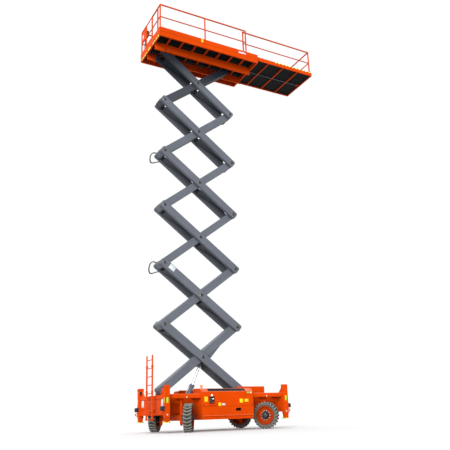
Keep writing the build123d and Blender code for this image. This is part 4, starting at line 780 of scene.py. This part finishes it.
# %% Pins
STAGES = range(1, 7)
PIN_END = 0.344
ring = turned([(0.052, 0), (0.052, 0.005), (0.047, 0.007), (0.034, 0.007), (0.03, 0.004)], 28)
bush = turned([(0.066, -0.0125), (0.066, -0.009), (0.063, -0.007), (0.0585, -0.007), (0.0585, -0.0135)], 28)
nipple = turned([(0.008, 0.003), (0.008, 0.012), (0.004, 0.015), (0.005, 0.02), (0.003, 0.022)], 10)
screws = shifted(ring_of(hex_head(0.012, 0.006), 2, 0.042, 0.6), (0, 0, 0.006))
crossings = {k: np.array(joints[f"cross_{k}"]["pos_m"]) for k in STAGES}
landings = {k: np.array(joints[f"join_{k}"]["pos_m"]) for k in STAGES[1:]}
for k in STAGES:
    pins = [crossings[k]]
    if k < STAGES[-1]:
        pins.append(landings[k + 1])
    if k > 1:
        pins.append(2 * crossings[k] - (landings[k] + 2 * (crossings[k] - landings[k]) * (0, 0, 1)))
    ends = [(pin + (0, way * PIN_END, 0), (0, way, 0)) for pin in pins for way in (-1, 1)]
    piece(f"keeper_rings_{k}", f"outer_{k}", DARK_IRON, *[put(ring, at, out) for at, out in ends])
    piece(f"brass_bushes_{k}", f"outer_{k}", BRASS, *[put(bush, at, out) for at, out in ends])
    piece(f"grease_nipples_{k}", f"outer_{k}", ZINC, *[put(nipple, at, out) for at, out in ends],
          *[put(screws, at, out) for at, out in ends])
print("pins dressed on six stages")

# %% [markdown]
# ## Hoses
#
# Pressure hoses bow out from the stack at two left pins.  Both ends of a loop are clipped to one arm, so
# it rides with that arm, and it stands outside the bars, which fold past it.  A curve object would do,
# but a tube carried along a Bezier curve is closed already and needs no conversion.

# %% Hose loops
def along_arm(k, distance, across=0.0):
    """A point on outer arm k, and the arm's direction: left pin + distance·way + across·normal."""
    start, end = landings[k + 1], crossings[k]
    way = (end - start) / np.linalg.norm(end - start)
    normal = np.array([-way[2], 0, way[0]])
    return start + distance * way + across * normal, way


HOSE_RADIUS, HOSE_FACE, CLIP_FACE = 0.016, 0.334, 0.3295
BOW = ((-0.1, 0.3), (-0.33, 0.34), (-0.36, -0.12), (-0.33, -0.66), (-0.2, -0.06))
clip = slab(0.05, 0.07, 0.03, 0.01, 0.004)
for k in (2, 4):
    over, way = along_arm(k, 0.17, 0.05)
    under, way = along_arm(k, 0.27, -0.05)
    loops = []
    for y in (0.385, 0.42):
        bow = [landings[k + 1] + (dx, y, dz) for dx, dz in BOW]
        route = [over + (0, HOSE_FACE, 0)] + bow + [under + (0, HOSE_FACE, 0)]
        loops.append(tube(bend(route), HOSE_RADIUS))
    piece(f"hose_loops_{k}", f"outer_{k}", BLACK_RUBBER, *loops)
    clips = [put(clip, end + (0, CLIP_FACE, 0), LEFT, way) for end in (over, under)]
    piece(f"hose_clips_{k}", f"outer_{k}", DARK_IRON, *clips)
print("hose loops at two landings")

# %% [markdown]
# A blank white plate is stuck on the second stage's outer bar, and turns with it.  It is one more thin
# slab, set by its distance along the arm, so it can't drift from the bar.

# %% Plate on the stack
PLATE_FACE = 0.3305
plate_at, way = along_arm(2, 0.33, 0.03)
plate = slab(0.17, 0.24, 0.003, 0.006)
piece("stack_plate", "outer_2", WHITE_VINYL, put(plate, plate_at - (0, PLATE_FACE, 0), RIGHT, way))
print("a plate on the second stage")

# %% [markdown]
# ## Lift cylinder
#
# The barrel's gland is held by eight screws, and a steel pipe carries oil along the barrel to it.  Both
# could be placed by eye, but the cylinder leans.  So they are set by their distance along its stroke,
# whose direction the record gives.

# %% Gland and pipe
foot = np.array(joints["cylinder_swing"]["pos_m"])
stroke = np.array(joints["cylinder_stroke"]["axis"], float)
stroke /= np.linalg.norm(stroke)
beside = np.cross(stroke, (0, 1, 0))
GLAND_AT = 0.93
gland = ring_of(hex_head(0.02, 0.01), 8, 0.063)
piece("gland_screws", "cylinder_barrel", ZINC, put(gland, foot + GLAND_AT * stroke, stroke, (0, 1, 0)))
PIPE_ROUTE = ((0.16, 0.07), (0.2, 0.13), (0.3, 0.088), (0.75, 0.088), (0.84, 0.12), (0.89, 0.08))
pipe = bend([foot + far * stroke + off * beside for far, off in PIPE_ROUTE])
piece("cylinder_pipe", "cylinder_barrel", ZINC, tube(pipe, 0.009))
print("lift cylinder dressed")

# %% [markdown]
# ## Work platform
#
# The deck's end carries hazard tape and a yellow label, and its side carries blank notices and plugs.
# They could be painted by the enamel's nodes, but a printed notice has an edge that catches light.  So
# they are plates two or three millimetres thick, set on the faces of the steel's own box.

# %% Tape and notices on the deck
deck_low, deck_high = extent("platform_frame")
END, SIDE, UNDER = deck_low
TOE = deck_high[2]
for name, y0, y1 in (("right", -0.96, -0.28), ("left", 0.3, 0.96)):
    tape = slab(y1 - y0, 0.05, 0.002, 0.002)
    piece("end_tape_" + name, "platform", DECK_STRIPES, put(tape, (END, (y0 + y1) / 2, UNDER + 0.036), REAR))
label = slab(0.26, 0.075, LABEL_THICK)
piece("end_label", "platform", YELLOW_VINYL, put(label, (END, 0.06, UNDER + 0.055), REAR))
side_plates = [("toe_label", YELLOW_VINYL, (0.09, 0.14, LABEL_THICK), -0.6, 0.094),
               ("toe_notice", WHITE_VINYL, (0.34, 0.06, LABEL_THICK), 1.18, 0.12),
               ("toe_notice_band", BLUE_VINYL, (0.1, 0.05, 0.003), 1.21, 0.1)]
for name, finish, sizes, x, below in side_plates:
    piece(name, "platform", finish, put(slab(*sizes), (x, SIDE, TOE - below), RIGHT))
plug = turned([(0.018, 0), (0.018, 0.002), (0.01, 0.006)], 16)
plugs = [put(plug, (x, SIDE, TOE - 0.1), RIGHT) for x in (0.86, 1.86)]
piece("side_plugs", "platform", DARK_IRON, *plugs)
print("stage labelled")

# %% Extension's tape
ext_low, ext_high = extent("extension_frame")
tape = slab(1.9, 0.026, 0.002, 0.002)
for side, y, out in (("right", ext_low[1], RIGHT), ("left", ext_high[1], LEFT)):
    piece("extension_tape_" + side, "extension", DECK_STRIPES, put(tape, (3.66, y, ext_high[2] - 0.014), out))
print("extension striped on both sides")

# %% [markdown]
# ### Control box
#
# The platform's box has a joystick in a rubber boot, toggle switches and a stop button on top, a
# screwed lid, and a conduit that drops to the deck.  A boot's folds could be sculpted, but they are
# round, so they are steps in one turned profile.

# %% Control box fittings
box_low, box_high = extent("control_box")
front, top = box_high[0], box_high[2]
mid_y, mid_z = (box_low[1] + box_high[1]) / 2, (box_low[2] + top) / 2
boot = turned([(0.036, 0), (0.034, 0.01), (0.026, 0.018), (0.03, 0.022), (0.02, 0.032), (0.014, 0.04)], 20)
grip = turned([(0.012, 0.03), (0.011, 0.05), (0.016, 0.058), (0.018, 0.076), (0.012, 0.085)], 16)
stick_at = (front - 0.08, mid_y - 0.06, top)
piece("joystick_boot", "platform", BLACK_RUBBER, put(boot, stick_at))
piece("joystick_grip", "platform", BLACK_PLASTIC, put(grip, stick_at))
piece("box_stop_button", "platform", RED_PLASTIC, put(button, (front - 0.08, mid_y + 0.07, top)))
toggles = [put(switch, (front - 0.04, mid_y + dy, top)) for dy in (-0.02, 0.015, 0.05)]
piece("box_switches", "platform", ZINC, *toggles)
LID_THICK = 0.004
lid = slab(0.2, 0.19, LID_THICK, 0.012, 0.002)
piece("box_lid", "platform", BLACK_PLASTIC, put(lid, (front, mid_y, mid_z), FRONT))
lid_corners = [(front + LID_THICK, mid_y + dy, mid_z + dz) for dy in (-0.085, 0.085) for dz in (-0.08, 0.08)]
piece("box_screws", "platform", ZINC, *[put(hex_head(0.01, 0.005), at, FRONT) for at in lid_corners])
print("control box fitted")

# %% Conduit and the panel's notice
base = box_low[2]
drop = [(0.0, base + 0.01), (0.0, base - 0.12), (0.1, base - 0.25), (0.1, base - 0.5), (0.1, TOE - 0.18)]
path = bend([(front - 0.09, mid_y + dy, z) for dy, z in drop])
piece("box_conduit", "platform", BLACK_RUBBER, tube(path, 0.016, 12, (1.0, 0.0, 0.0)))
NOTICE_X, NOTICE_Y = extent("platform_rails")[0][0] + 0.0135, 0.82
notice, band = slab(0.12, 0.19, LABEL_THICK), slab(0.1, 0.07, 0.003)
piece("panel_notice", "platform", WHITE_VINYL, put(notice, (NOTICE_X, NOTICE_Y, 15.03), REAR))
piece("panel_notice_band", "platform", BLUE_VINYL, put(band, (NOTICE_X, NOTICE_Y, 14.985), REAR))
print("control box wired, and a notice on its panel")

# %% [markdown]
# ## Studio
#
# A plain floor under a plain white sky makes soft light from everywhere.  A low sun from the front left
# gives the upright faces their tone, and a broad high sun puts the shadow under the chassis.  The floor
# is just pale enough to reach white in the open, so the contact shadows stay visible.

# %% Floor
FLOOR_SIDE = 160.0
corners = np.array([[-1, -1], [1, -1], [1, 1], [-1, 1]]) * FLOOR_SIDE / 2
floor_mesh = bpy.data.meshes.new("studio_floor")
floor_mesh.from_pydata([(x, y, 0.0) for x, y in corners.tolist()], [], [(0, 1, 2, 3)])
studio_floor = bpy.data.objects.new("studio_floor", floor_mesh)
bpy.context.scene.collection.objects.link(studio_floor)
# Matt painted concrete: no mirror of the machine, only its shadow.
floor_finish, tree, _ = new_material("pale_studio_floor")
matt = {"Base Color": hex_colour("AEAEAE"), "Roughness": 0.9, "Specular IOR Level": 0.1}
add(tree, "OutputMaterial", {"Surface": add(tree, "BsdfPrincipled", matt).outputs[0]})
floor_mesh.materials.append(floor_finish)
print("a floor", FLOOR_SIDE, "metres wide")

# %% Sky and suns
sky = bpy.data.worlds.new("white_sky")
sky.use_nodes = True
backdrop = sky.node_tree.nodes["Background"]
backdrop.inputs["Color"].default_value = (1.0, 1.0, 1.0, 1.0)
backdrop.inputs["Strength"].default_value = 1.02
bpy.context.scene.world = sky

suns = [("front_sun", 6.2, 40, 74, -45), ("high_sun", 3.1, 50, -12, 0)]
for name, energy, angle, tilt, turn in suns:
    sun = bpy.data.objects.new(name, bpy.data.lights.new(name, "SUN"))
    bpy.context.scene.collection.objects.link(sun)
    sun.data.energy = energy
    sun.data.angle = math.radians(angle)
    sun.rotation_euler = (math.radians(tilt), 0.0, math.radians(turn))
bpy.context.scene.view_settings.view_transform = "Standard"
print(len(suns), "suns under a white sky")
